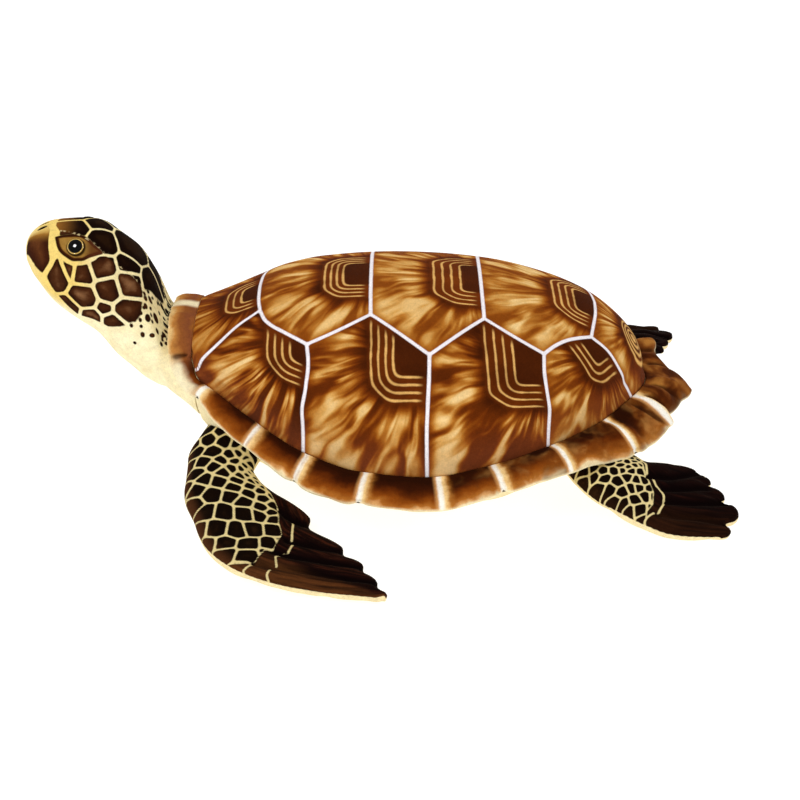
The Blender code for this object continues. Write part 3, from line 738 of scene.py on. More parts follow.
def build_belly():
    x = dome_stations(130)[:-1]
    width, top, low, edge, flat, full = (v[:, None] for v in belly_curves(x))
    turn = np.linspace(0, math.pi / 2, 46)[None]
    bowl_y = flat + (width - flat) * np.sin(turn) ** (2 / full)
    bowl_z = low + (edge - low) * (1 - np.cos(turn) ** (2 / full))
    flat_y = flat * np.linspace(0, 1, 13)[None, :-1]
    wall_z = edge + (top - edge) * np.linspace(0, 1, 6)[None, 1:]
    top_y = width * np.linspace(1, 0, 13)[None, 1:]
    y = np.hstack([flat_y, bowl_y, width + 0 * wall_z, top_y])
    z = np.hstack([low + 0 * flat_y, bowl_z, wall_z, top + 0 * top_y])
    y = np.hstack([y, -y[:, 1:-1][:, ::-1]])
    z = np.hstack([z, z[:, 1:-1][:, ::-1]])
    points = np.stack([x[:, None] + 0 * y, y, z], -1)
    near = np.minimum(np.hypot(points[..., 0] - SEATS[0][0], np.abs(y) - SEATS[0][1]),
                      np.hypot(points[..., 0] - SEATS[1][0], np.abs(y) - SEATS[1][1])) / MM
    held = np.maximum(1 - ease(1.0, 7.0, (top - z) / MM), 1 - ease(0.5, 5.0, z / MM))
    held = np.maximum(held, 1 - ease(34.0, 46.0, near))
    held = np.maximum(held, 1 - ease(2.0, 10.0, (x[:, None] - FRONT_X) / MM))
    points = stuffed(points, held, cap=1.5, pressure=3.0, slack=1.0, growth=0.01, spacing=6.0)
    return skin("belly_underside", points, {}, cream_plush())


# Head and neck

NECK_X, SNOUT_X = -0.1713, -0.290
HEAD_X = (-0.171, -0.182, -0.192, -0.202, -0.214, -0.228,
          -0.242, -0.256, -0.270, -0.281, -0.287, -0.290)
HEAD_Z = (0.0795, 0.0848, 0.0915, 0.1075, 0.1224, 0.1357,
          0.1486, 0.1540, 0.1592, 0.1646, 0.1668, 0.1690)
HEAD_HALF_HEIGHT = (0.0365, 0.0320, 0.0290, 0.0408, 0.0477, 0.0473,
                    0.0407, 0.0354, 0.0290, 0.0194, 0.0117, 0.0)
HEAD_HALF_WIDTH = (0.0435, 0.0400, 0.0380, 0.0362, 0.0350, 0.0345,
                   0.0340, 0.0320, 0.0275, 0.0200, 0.0130, 0.0)
HEAD_FULLNESS = 2.3
# Place along X and turn from the crown of a nostril, its half length and half width in mm, and the
# depths in mm of the nostrils and of the groove along the crown seam
NOSTRIL_X, NOSTRIL_TURN, NOSTRIL_LONG, NOSTRIL_WIDE = -0.2764, 7.5, 4.2, 2.5
NOSTRIL_DEPTH, SEAM_GROOVE = 0.8, 0.6

# Printed scales of the head: place along X in mm, turn from the crown in degrees, and a radius in mm
HEAD_SCALES = (
    (-264.6, 88.6, 9.0), (-254.3, 77.3, 3.0), (-244.9, 76.2, 6.8), (-230.4, 57.8, 8.2),
    (-246.4, 95.0, 9.6), (-227.9, 73.9, 9.4), (-214.4, 53.5, 9.6), (-232.3, 91.6, 4.6),
    (-216.9, 79.0, 8.4), (-243.0, 114.8, 5.8), (-227.4, 98.0, 6.2), (-258.0, 117.5, 6.4),
    (-251.6, 15.0, 8.8), (-237.0, 0.0, 9.0), (-231.2, 24.5, 9.4), (-214.6, 0.0, 14.2),
    (-214.5, 33.5, 6.4), (-201.2, 15.0, 9.6))
# Half widths of the pale lines between them, in mm: on the crown, and on the cheeks past this turn
CROWN_HALF_LINE, CHEEK_HALF_LINE, CHEEK_FROM = 0.85, 1.25, 42
SCALE_AREA = (
    (-268.0, -60.0), (-266.0, 10.0), (-262.0, 22.0), (-261.5, 62.0), (-266.0, 70.0), (-271.3, 82.0),
    (-271.8, 92.0), (-269.0, 103.0), (-265.3, 110.7), (-258.9, 123.0), (-253.0, 130.5), (-239.3, 118.5),
    (-231.9, 108.9), (-224.3, 98.9), (-218.1, 91.5), (-211.5, 83.2), (-207.8, 72.0), (-206.4, 60.0),
    (-205.0, 48.3), (-205.9, 40.0), (-202.6, 30.0), (-198.4, 18.0), (-195.4, 6.0), (-193.0, -60.0))
BEAK = ((-288.0, 88.0), (-287.5, 60.0), (-286.5, 30.0), (-281.5, 10.0), (-273.0, 8.0), (-269.6, 20.0),
        (-269.0, 50.8), (-268.0, 67.0), (-270.8, 80.0), (-274.2, 90.5), (-278.0, 93.0))
SOCKET = ((-264.0, 33.7), (-259.9, 30.5), (-253.8, 28.0), (-247.4, 27.4), (-241.9, 31.6),
          (-236.4, 38.4), (-231.7, 41.3), (-235.3, 47.2), (-240.4, 53.7), (-245.6, 59.5),
          (-250.9, 61.6), (-256.4, 58.4), (-261.0, 51.7))
HEAD_SEAM = ((-262.0, 20.0), (-256.3, 22.4), (-247.3, 26.5), (-240.5, 32.8), (-233.8, 37.3),
             (-227.4, 40.9), (-221.1, 42.0), (-214.9, 41.1), (-207.4, 37.5), (-198.0, 31.0),
             (-186.0, 26.0))
# Spots of the neck: place along X in mm, turn in degrees, half height and half width in mm
NECK_SPOTS = ((-204.4, 40.3, 1.2, 0.9), (-203.6, 43.7, 1.6, 1.1), (-200.5, 21.7, 0.9, 0.9),
              (-198.3, 5.3, 0.8, 1.2), (-200.8, 35.5, 2.8, 1.6), (-196.9, 7.1, 2.2, 1.3),
              (-203.7, 52.8, 1.8, 1.3), (-200.5, 45.1, 0.9, 0.9), (-195.7, 11.8, 2.3, 1.3),
              (-202.7, 62.9, 2.5, 1.8), (-197.5, 42.9, 3.8, 1.9), (-207.3, 68.3, 1.2, 0.8),
              (-208.1, 76.4, 1.1, 0.8), (-196.0, 26.5, 1.4, 0.8), (-194.9, -9.8, 2.0, 1.0),
              (-192.8, -6.0, 2.6, 0.8), (-207.8, 81.4, 0.9, 0.7), (-207.4, 87.7, 1.8, 1.2),
              (-200.4, 75.3, 1.3, 1.8), (-214.7, 89.3, 1.2, 0.9), (-213.8, 101.7, 0.9, 0.8),
              (-193.4, 10.7, 3.2, 0.9), (-191.8, 27.4, 3.2, 0.8), (-192.6, 44.2, 2.0, 0.8),
              (-196.5, 55.0, 2.2, 0.9), (-194.0, 62.0, 1.5, 0.8), (-204.9, 57.5, 0.9, 0.8))


def head_angle(x):
    return np.arcsin(np.clip((NECK_X - np.asarray(x)) / (NECK_X - SNOUT_X), 0, 1))


def head_curves(x):
    angle = head_angle(x)
    keys = head_angle(HEAD_X)
    keys[0] = 0.0
    return [smooth(keys, values, angle) for values in (HEAD_Z, HEAD_HALF_HEIGHT, HEAD_HALF_WIDTH)]


def head_point(x, turn):
    """A point of the head's skin; the turn runs from the crown towards the toy's left cheek."""
    centre, tall, wide = head_curves(x)
    y = -wide * signed_power(np.sin(turn), 2 / HEAD_FULLNESS)
    z = centre + tall * signed_power(np.cos(turn), 2 / HEAD_FULLNESS)
    return np.stack(np.broadcast_arrays(x, y, z), -1)


def head_map(x, turn):
    """The head's skin laid out flat in mm, one side over the other; turns in degrees."""
    _, tall, wide = head_curves(x)
    return np.stack(np.broadcast_arrays(x / MM, np.radians(turn) * (tall + wide) / 2 / MM), -1)


def on_map(outline):
    outline = np.array(outline)
    return head_map(outline[:, 0] * MM, outline[:, 1])


def neck_speckles():
    """Small extra spots between the larger ones, in the same terms."""
    chance = np.random.default_rng(12)
    speckles = []
    for row in range(8):
        for column in range(5):
            x = -190.5 - 3.1 * column + chance.normal(0, 0.5)
            turn = 1 + 7.4 * row + 4 * (column % 2) + chance.normal(0, 1.5)
            tall, wide = chance.uniform(0.8, 1.7), chance.uniform(0.5, 0.9)
            near = min(math.hypot(x - spot[0], (turn - spot[1]) * 0.6) - spot[2] * 0.7
                       for spot in NECK_SPOTS)
            if near > 1.1:
                speckles.append((x, turn, tall, wide))
    return tuple(speckles)


def build_head():
    rows, size = 250, 288
    angles = np.linspace(0, math.pi / 2, rows)
    turns = np.linspace(-180, 180, size + 1)[:-1]
    x, turn = np.meshgrid(NECK_X - (NECK_X - SNOUT_X) * np.sin(angles), turns, indexing="ij")
    points = head_point(x, np.radians(turn))
    over = np.abs(turn)
    flat = head_map(x, over)
    socket, beak = (depth_inside(flat, through(on_map(outline + outline[:1]), closer=4)[:-1])
                    for outline in (SOCKET, BEAK))
    area = depth_inside(flat, on_map(SCALE_AREA))
    seeds, sizes, halves = [], [], []
    for place_x, place_turn, size_mm in HEAD_SCALES:
        for side in ((1, -1) if place_turn else (1,)):
            seeds.append(head_point(place_x * MM, math.radians(side * place_turn)) / MM)
            sizes.append(size_mm)
            halves.append(CHEEK_HALF_LINE if place_turn > CHEEK_FROM else CROWN_HALF_LINE)
    # A pale band stays clear round the socket, broader on its cheek side, and round the beak
    clear = 0.7 + 3.0 * ease(34, 54, over) * ease(-230, -238, x / MM)
    ink = scale_ink(points / MM, np.array(seeds), np.array(sizes), np.array(halves),
                    (area, -socket - clear, -beak - 4.0), sharpness=2.0)
    ink = np.maximum(ink, beak)
    for spot_x, spot_turn, tall, wide in NECK_SPOTS + neck_speckles():
        for side in (1, -1):
            here, below, ahead = (
                head_point((spot_x - step) * MM, math.radians(side * (spot_turn + lower)))
                for lower, step in ((0, 0), (1.0, 0), (0, 1.0)))
            out = unit(np.cross(below - here, ahead - here))
            down = unit(np.array([0, 0, -1.0]) + out * out[2])
            off = (points - here) / MM
            # The spot's own soft edge adds half a millimetre on every side
            high, broad = tall + 0.5, wide + 0.5
            spot = (1 - np.hypot(off @ down / high, off @ np.cross(out, down) / broad)) * broad
            ink = np.where(size_of(off) < 3 * tall, np.maximum(ink, spot), ink)
    nostril = np.full(x.shape, BARE)
    for side in (1, -1):
        centre = head_point(NOSTRIL_X, math.radians(side * NOSTRIL_TURN))
        off = (points - centre) / MM
        slit = (1 - np.hypot(off[..., 0] / NOSTRIL_LONG, off[..., 1] / NOSTRIL_WIDE)) * 2.0
        nostril = np.maximum(nostril, np.where(off[..., 2] > -6, slit, BARE))
    seam = distance_to_lines(flat, [through(on_map(HEAD_SEAM), closer=4)])
    place, _ = eye_frame(-1)
    eye = np.minimum(size_of(points - place), size_of(points - place * (1, -1, 1))) / MM
    # Held where the neck meets the body, round the eyes and along the crown seam
    held = np.maximum(1 - ease(2.0, 9.0, (NECK_X - x) / MM), 1 - ease(7.0, 11.0, eye))
    held = np.maximum(held, 0.8 * bell(seam, 2.5) * ease(-268, -262, x / MM))
    points = stuffed(points, held, cap=2.0, pressure=6.0, slack=0.6, growth=0.018)
    normal = grid_normals(points)
    raised = -SEAM_GROOVE * bell(seam, 1.2) * ease(-266, -262, x / MM) * ease(7.5, 9.5, eye)
    raised = raised - NOSTRIL_DEPTH * ease(-0.4, 0.8, nostril) - EYE_DIMPLE / MM * ease(12.5, 7.0, eye)
    points = points + normal * (raised * MM)[..., None]
    seam_x, seam_turn = np.array(HEAD_SEAM).T
    tip = ease(-272, -287, x / MM)
    fields = {"ink": ink, "socket": socket, "beak": beak, "nostril": nostril, "seam": seam, "eye": eye,
              "cheek": ease(-2, 3, over - np.interp(x / MM, seam_x, seam_turn)),
              "under": 0.3 * tip + (1 - tip) * ease(92, 128, over + 0.9 * (x / MM + 245).clip(-20, 45)),
              "face": ease(-232, -252, x / MM), "brow": ease(-249, -267, x / MM),
              "muzzle": ease(46, 4, over), "corner": ease(-246, -238, x / MM)}
    return skin("head_and_neck", points, fields, head_plush())


# Eyes

# Place along X, turn from the crown in degrees, how far the outline starts clear of the fabric, and
# how far the thread behind each eye draws it into the stuffed head
EYE_X, EYE_TURN, EYE_SINK, EYE_DIMPLE = -0.2497, 45.0, 0.0007, 0.0012
EYE_OUTLINE = ((5.60, 0.0), (6.0, 0.2), (6.05, 0.55), (5.95, 0.85), (5.65, 1.0), (5.35, 0.92),
               (5.2, 1.0), (4.85, 1.38), (4.2, 1.8), (3.3, 2.14), (2.2, 2.35), (1.1, 2.45),
               (0.25, 2.47))


def eye_frame(side):
    """Place and outward direction of an eye; side is -1 on the toy's left and 1 on its right."""
    turn = math.radians(EYE_TURN)
    here = head_point(EYE_X, turn)
    ahead = head_point(EYE_X - 0.001, turn)
    below = head_point(EYE_X, turn + 0.02)
    normal = unit(np.cross(ahead - here, below - here))
    if normal[1] > 0:
        normal = -normal
    mirror = np.array([1.0, -side, 1.0])
    return here * mirror, normal * mirror


def build_eye(name, side, look):
    place, normal = eye_frame(side)
    start = place + normal * (EYE_SINK + GAP - EYE_DIMPLE)
    level = unit(np.cross((0, 0, 1.0), normal))
    up = np.cross(normal, level)
    outline = through(EYE_OUTLINE, closer=3) * MM
    angle = np.linspace(0, 2 * math.pi, 49)[:-1]
    ring = np.cos(angle)[:, None] * level + np.sin(angle)[:, None] * up
    points = start + outline[:, :1, None] * ring[None] + outline[:, 1:, None] * normal
    radius = np.repeat(outline[:, :1] / MM, len(angle), 1)
    return skin(name, points, {"radius": radius}, look)


# Flippers

# Run of the rounded tip past the last section, and the gap between a flipper's seat and the belly
TIP_RUN, SEAT_GAP = 0.0018, 0.0005
# In mm: half width of the lines between the scales, height and length of the stitches at the edge,
# and two pairs of depth and half width that make the groove of a finger line
FLIPPER_HALF_LINE = 0.70
STITCH_HIGH, STITCH_LONG = 0.35, 2.4
GROOVE = ((2.3, 2.6), (0.5, 5.5))

# Both edges in plan from root to tip, and the height and thickness of the flipper between them
FRONT_LEAD = ((-0.154, -0.030), (-0.1635, -0.052), (-0.1745, -0.076), (-0.1740, -0.104),
              (-0.1645, -0.133), (-0.151, -0.1610), (-0.1290, -0.1810), (-0.104, -0.1915),
              (-0.080, -0.1970), (-0.058, -0.2000), (-0.043, -0.2005), (-0.0345, -0.198))
FRONT_TRAIL = ((-0.108, -0.046), (-0.118, -0.066), (-0.127, -0.086), (-0.121, -0.0945),
               (-0.107, -0.102), (-0.0915, -0.112), (-0.0785, -0.128), (-0.0645, -0.1445),
               (-0.052, -0.159), (-0.0435, -0.173), (-0.037, -0.185), (-0.0335, -0.193))
FRONT_HEIGHT = (0.050, 0.046, 0.036, 0.029, 0.022, 0.0165,
                0.0125, 0.0100, 0.0084, 0.0072, 0.0060, 0.0053)
FRONT_THICKNESS = (0.034, 0.033, 0.029, 0.025, 0.022, 0.0195,
                   0.0170, 0.0145, 0.0125, 0.0110, 0.0090, 0.0070)
# Fingertips along the trailing edge, with the run and depth of the step in behind each
FRONT_TIPS = ((0.490, 0.029, 0.0056), (0.646, 0.028, 0.0042),
              (0.760, 0.025, 0.0034), (0.876, 0.025, 0.0028))
FRONT_END = unit(np.array([0.75, -0.65, 0.0])) * TIP_RUN
# Plan outlines in mm: the area of the scales, pale bars of the print, and sewn finger lines
FRONT_AREA = ((-60, -30), (-112, -84), (-118, -97), (-116.5, -104), (-107.9, -119.3), (-106.8, -135.4),
              (-103.8, -146.3), (-108.3, -161.3), (-113.7, -162.6), (-120.4, -174.1), (-125.8, -174.6),
              (-138.7, -174.0), (-150, -205), (-215, -160), (-215, -20))
FRONT_BARS = (((-96.3, -128.9), (-96.6, -139.9), (-96.3, -150.7)), ((-94.5, -151.6), (-98, -163.3)),
              ((-100.6, -164.5), (-106, -169), (-104.9, -177.4)),
              ((-108.1, -177.9), (-110.9, -184.7), (-109.6, -189.4)),
              ((-121.1, -175.3), (-126.5, -181), (-125.9, -182.7)))
FRONT_CREASES = (((-84.5, -127.4), (-93.5, -129.6), (-101.0, -126.5), (-106.0, -121.0)),
                 ((-61.0, -153.6), (-74.5, -154.6), (-87.4, -153.3), (-98.9, -151.6)),
                 ((-49.0, -170.0), (-64.5, -170.0), (-80.1, -168.7), (-94, -167.2), (-108.3, -163.8)),
                 ((-38.6, -185.4), (-56.4, -185.8), (-74.7, -183.2), (-93.3, -179.6), (-107.1, -178.1),
                  (-120.4, -174.5)))

REAR_LEAD = ((0.084, -0.050), (0.093, -0.086), (0.105, -0.111), (0.120, -0.131), (0.1365, -0.1495),
             (0.154, -0.1615), (0.171, -0.1645), (0.185, -0.1640))
REAR_TRAIL = ((0.124, -0.030), (0.135, -0.058), (0.144, -0.077), (0.150, -0.0875), (0.160, -0.0905),
              (0.170, -0.0910), (0.180, -0.0920), (0.186, -0.0960))
REAR_HEIGHT = (0.036, 0.036, 0.0365, 0.0365, 0.0365, 0.0355, 0.0345, 0.0335)
REAR_TILT = (0.0, 0.0, -0.003, -0.005, -0.006, -0.006, -0.005, -0.004)
REAR_THICKNESS = (0.020, 0.020, 0.020, 0.0185, 0.016, 0.0135, 0.0115, 0.0085)
REAR_TOE_AT = (0.0, 0.06, 0.16, 0.24, 0.32, 0.42, 0.52, 0.58, 0.65, 0.73, 0.80, 0.88, 0.95, 1.0)
REAR_TOE_REACH = (0.0, 0.0065, 0.0095, 0.0070, 0.0140, 0.0175, 0.0145, 0.0068,
                  0.0110, 0.0085, 0.0004, 0.0040, 0.0030, 0.0)
REAR_HEADING = unit(np.array([1.0, -0.20, -0.06]))
REAR_AREA = ((60, -30), (60, -190), (134, -190), (139.5, -150), (141.5, -142), (146.0, -136.5),
             (147.6, -127), (145.5, -112.0), (144.0, -104.0), (143.6, -93.0), (150, -80), (140, -30))
REAR_BARS = (((149.6, -112.9), (150.7, -120.2), (153.0, -124.2), (154.9, -129.9), (153.6, -136.9),
              (148.8, -144.6)), ((146.1, -144.3), (141.2, -148), (138.0, -153.0)),
             ((144.8, -88.7), (146.6, -98.4), (146.4, -107.3)))
REAR_CREASES = (((146.7, -110.2), (157.5, -110.9), (169.9, -106.8), (180.3, -100.6), (186.4, -96.2)),
                ((156.6, -122.7), (167.7, -121.1), (186.3, -116.8)),
                ((155.7, -134.9), (169.8, -135), (182.1, -134.4), (197.7, -130.3)),
                ((149.5, -145.6), (159.6, -147.6), (175.8, -149.2), (196.1, -152.3)))


def plan_at(table, t):
    keys = np.linspace(0, 1, len(table))
    table = np.asarray(table, float)
    if table.ndim == 1:
        return smooth(keys, table, t)
    return np.stack([smooth(keys, table[:, i], t) for i in range(table.shape[1])], -1)


def flipper_sections(lead, trail, thickness, columns):
    """Closed sections between two edges, rounded like a stuffed cushion; the top comes first."""
    turn = np.linspace(0, 2 * math.pi, columns + 1)[:-1]
    share = (0.5 - 0.5 * np.cos(turn))[None, :, None]
    height = 0.5 * thickness[:, None] * signed_power(np.sin(turn), 0.8)[None]
    points = lead[:, None] + (trail - lead)[:, None] * share
    points[..., 2] += height
    return points, turn


def rounded_tip(points, step):
    """The sections with a rounded end past the last one, closed along the middle."""
    last = points[-1]
    middle = (last + np.roll(last[::-1], 1, axis=0)) / 2
    rows = []
    for angle in np.radians((18, 36, 54, 72, 84, 90)):
        rows.append(middle + (last - middle) * (1, 1, math.cos(angle)) + step * math.sin(angle))
    return np.concatenate([points, rows])


def seated(points, rows):
    """The sections from where they leave the belly, with a face that lies against its skin."""
    side = belly_side(points[..., 0], points[..., 2])
    low = belly_curves(points[..., 0])[2]
    outside = np.maximum(np.abs(points[..., 1]) - side, low - points[..., 2]) - SEAT_GAP
    count, columns = outside.shape
    fresh = np.empty((rows, columns, 3))
    for j in range(columns):
        last = np.nonzero(outside[:, j] < 0)[0].max()
        f0, f1 = outside[last, j], outside[last + 1, j]
        start = last + f0 / (f0 - f1)
        at = start + (count - 1 - start) * np.linspace(0, 1, rows)
        for axis in range(3):
            fresh[:, j, axis] = np.interp(at, np.arange(count), points[:, j, axis])
    rim = fresh[0]
    centre = rim.mean(0)
    seat = []
    for share in (0.0, 0.15, 0.3, 0.45, 0.6, 0.75, 0.88, 0.97):
        row = centre + (rim - centre) * share
        row[:, 1] = -(belly_side(row[:, 0], row[:, 2]) + SEAT_GAP)
        seat.append(row)
    seat[0] = np.repeat(seat[0].mean(0)[None], columns, 0)
    return np.concatenate([seat[1:], fresh])


def scale_seeds(lead, trail, t, step, evens, odds, seed):
    """Middles of the printed scales in plan, in mm, in rows across; the shares of even and odd rows
    say how far over towards the trailing edge each scale lies."""
    chance = np.random.default_rng(seed)
    line = plan_at(lead, t)
    length = reach_of(size_of(np.diff(line, axis=0))) / MM
    seeds = []
    for n in range(int(length[-1] / step) + 2):
        for share in (evens, odds)[n % 2]:
            at = np.interp(n * step + chance.normal(0, 1.9), length, t)
            across = np.clip(share + chance.normal(0, 0.022), -0.02, 1.02)
            point = plan_at(lead, at) * (1 - across) + plan_at(trail, at) * across
            seeds.append(point / MM)
    return np.array(seeds)


def flipper_fields(points, seeds, area, bars, creases, stretch):
    """Fields of the flipper print, and the distance to the sewn finger lines, in mm.

    The scales are wider than long by the stretch.
    """
    plan = points[..., :2] / MM
    inside = depth_inside(plan, np.array(area, float))
    flat = np.array([1 / stretch, 1.0])
    ink = scale_ink(plan * flat, seeds * flat, np.zeros(len(seeds)), FLIPPER_HALF_LINE,
                    (inside + 0.2,), sharpness=2.6)
    fingers = -inside - 0.9
    ink = np.maximum(ink, fingers)
    bar_gap, crease = (distance_to_lines(plan, [through(line, closer=5) for line in lines])
                       for lines in (bars, creases))
    ink = np.minimum(ink, bar_gap - 0.8)
    ink = np.maximum(ink, np.where(fingers > -2, 1.4 - crease, BARE))
    return {"ink": ink, "fingers": ease(-1.0, 1.5, fingers), "crease": crease}


def build_flipper(name, points, turn, fields, side, lip, brown_and_highlight):
    """A flipper skin: printed above and cream below, with the finger lines sewn in.

    The lip is how far the cream turns up at the leading edge, in mm, and brown_and_highlight says how
    brown the print is towards the leading edge and how strong the painted highlights on the finger ridges
    are.
    """
    columns = points.shape[1]
    half = columns // 2
    length = np.cumsum(size_of(points - np.roll(points, 1, 1)), 1) / MM
    girth, middle = length[:, -1:], length[:, half][:, None]
    over = np.minimum(length - length[:, :1], middle - length)
    beneath = np.minimum(length - middle, girth - length)
    below = np.where(np.arange(columns)[None] <= half, -over, beneath)
    along = reach_of(size_of(np.diff(points[:, 0], axis=0))) / MM
    share = np.repeat((0.5 - 0.5 * np.cos(turn))[None], len(points), 0)
    raised = lip * ease(0.42, 0.60, along / along[-1])[:, None] * (1 - ease(0.0, 0.45, share))
    stitch = STITCH_HIGH * np.abs((along / STITCH_LONG) % 2 - 1)
    fields["under"] = below + raised + stitch[:, None] - 0.7
    fields["lead"] = share
    fields["brown_and_highlight"] = np.full_like(share, brown_and_highlight)
    across = share * size_of(points[:, half] - points[:, 0])[:, None] / MM
    fields["lay"] = np.stack([along[:, None] + 0 * across, across, 0 * across], -1)
    thin = size_of(points - np.roll(points[:, ::-1], 1, 1)) / MM
    # Held at the root, along the finger lines, along the edges and where the flipper is thin
    crease = fields["crease"]
    root = along[6]
    held = np.maximum(1 - ease(2.0, 8.0, along - root)[:, None], bell(crease, 3.0) * (thin > 1))
    held = np.maximum(held, 0.9 * bell(below, 2.0))
    held = np.maximum(held, 1 - ease(2.0, 5.0, thin))
    points = stuffed(points, held, cap=1.8, pressure=12.0, slack=0.5, growth=0.03)
    normal = grid_normals(points)
    # The grooves take at most about a third of the thickness, and the edge seam has a nick
    pull = sum(deep * bell(crease, half_width) for deep, half_width in GROOVE)
    pull = np.minimum(pull, 0.36 * thin) + 0.4 * bell(below + raised, 0.9) * (thin > 3)
    points = points - normal * (pull * MM)[..., None]
    points = points * (1, -side, 1)
    return skin(name, points, fields, LOOKS["flipper"], ends="seam")


def tip_steps(t):
    """How far the trailing edge steps in behind each fingertip before it comes back out at the next."""
    keys, depths = [0.0, FRONT_TIPS[0][0] - 0.04], [0.0, 0.0]
    for tip, run, depth in FRONT_TIPS:
        keys += [tip, tip + run]
        depths += [0.0, depth]
    return smooth(keys + [1.0], depths + [0.0], t)


def build_front_flipper(name, side):
    t = np.linspace(0, 1, 300)
    lead, trail = plan_at(FRONT_LEAD, t), plan_at(FRONT_TRAIL, t)
    height = plan_at(FRONT_HEIGHT, t)[:, None]
    lead, trail = np.hstack([lead, height]), np.hstack([trail, height])
    trail = trail + unit(lead - trail) * tip_steps(t)[:, None]
    points, turn = flipper_sections(lead, trail, plan_at(FRONT_THICKNESS, t), columns=216)
    points = seated(rounded_tip(points, FRONT_END), rows=250)
    seeds = scale_seeds(FRONT_LEAD, FRONT_TRAIL, np.linspace(0.10, 0.72, 80), step=9.2,
                        evens=(0.03, 0.29, 0.55, 0.73, 0.85, 0.94),
                        odds=(0.14, 0.43, 0.65, 0.79, 0.90, 0.98), seed=5)
    fields = flipper_fields(points, seeds, FRONT_AREA, FRONT_BARS, FRONT_CREASES, stretch=1.3)
    return build_flipper(name, points, turn, fields, side, lip=3.2, brown_and_highlight=1.0)


def build_rear_flipper(name, side):
    t = np.linspace(0, 1, 150)
    lead, trail = plan_at(REAR_LEAD, t), plan_at(REAR_TRAIL, t)
    height, tilt = plan_at(REAR_HEIGHT, t), plan_at(REAR_TILT, t)
    lead = np.hstack([lead, (height + tilt)[:, None]])
    trail = np.hstack([trail, (height - tilt)[:, None]])
    points, turn = flipper_sections(lead, trail, plan_at(REAR_THICKNESS, t), columns=200)
    toe = smooth(REAR_TOE_AT, REAR_TOE_REACH, 0.5 - 0.5 * np.cos(turn))
    strength = smooth((0, 6 / 9, 7 / 9, 8 / 9, 1), (0, 0, 0.22, 0.55, 1.0), t)
    points = points + REAR_HEADING * (strength[:, None] * toe[None])[..., None]
    points = seated(rounded_tip(points, REAR_HEADING * TIP_RUN), rows=170)
    seeds = scale_seeds(REAR_LEAD, REAR_TRAIL, np.linspace(0.05, 0.75, 60), step=7.6,
                        evens=(0.04, 0.20, 0.37, 0.53, 0.68, 0.80, 0.90, 0.97),
                        odds=(0.11, 0.29, 0.46, 0.61, 0.74, 0.85, 0.94), seed=8)
    fields = flipper_fields(points, seeds, REAR_AREA, REAR_BARS, REAR_CREASES, stretch=1.05)
    return build_flipper(name, points, turn, fields, side, lip=2.2, brown_and_highlight=0.2)


# Materials

COLOUR = {"out": 2, "data_type": "RGBA"}
SOFT = {"interpolation_type": "SMOOTHSTEP"}
TIMES = {"operation": "MULTIPLY"}
TIMES_PLUS = {"operation": "MULTIPLY_ADD"}


def linear(hex_colour):
    channels = [int(hex_colour[i:i + 2], 16) / 255 for i in (1, 3, 5)]
    return [c / 12.92 if c <= 0.04045 else ((c + 0.055) / 1.055) ** 2.4 for c in channels] + [1.0]


def add_node(tree, kind, inputs=(), out=0, stops=None, **settings):
    """Add a node with its settings, fill its inputs with values or links, and give back one output."""
    made = tree.nodes.new("ShaderNode" + kind)
    for key, value in settings.items():
        setattr(made, key, value)
    for key, value in inputs.items() if isinstance(inputs, dict) else enumerate(inputs):
        if isinstance(value, bpy.types.NodeSocket):
            tree.links.new(value, made.inputs[key])
        else:
            made.inputs[key].default_value = linear(value) if isinstance(value, str) else value
    if stops:
        ramp = made.color_ramp
        while len(ramp.elements) < len(stops):
            ramp.elements.new(0.5)
        for element, (place, colour) in zip(ramp.elements, stops):
            element.position = place
            element.color = linear(colour)
    return made.outputs[out] if made.outputs else None


def start_material(name):
    """A new empty material, and the call that adds a node to it."""
    material = bpy.data.materials.new(name)
    material.use_nodes = True
    material.node_tree.nodes.clear()
    return material, partial(add_node, material.node_tree)


def finish_plush(add, colour):
    """Short-pile plush: dull, with a soft sheen at the edges and a nap of about a millimetre."""
    where = add("TexCoord", out="Object")
    nap = add("TexNoise", {"Vector": where, "Scale": 1 / (0.9 * MM), "Detail": 3.0, "Roughness": 0.6})
    lie = add("TexNoise", {"Vector": where, "Scale": 1 / (7 * MM), "Detail": 2.0})
    tuft = add("TexNoise", {"Vector": where, "Scale": 1 / (2.4 * MM), "Detail": 1.0})
    mottle = 0.50
    for grain, share in ((nap, 0.50), (lie, 0.24), (tuft, 0.26)):
        mottle = add("Math", (grain, share, mottle), **TIMES_PLUS)
    grey = add("CombineColor", (mottle, mottle, mottle))
    shaded = add("Mix", {0: 1.0, 6: colour, 7: grey}, blend_type="MULTIPLY", **COLOUR)
    bump = add("Bump", {"Height": nap, "Strength": 0.35, "Distance": 0.0007})
    add("OutputMaterial", {"Surface": add("BsdfPrincipled", {
        "Base Color": shaded, "Roughness": 0.9, "Specular IOR Level": 0.03,
        "Sheen Weight": 0.02, "Sheen Roughness": 0.4, "Sheen Tint": "#e8c8a0", "Normal": bump})})


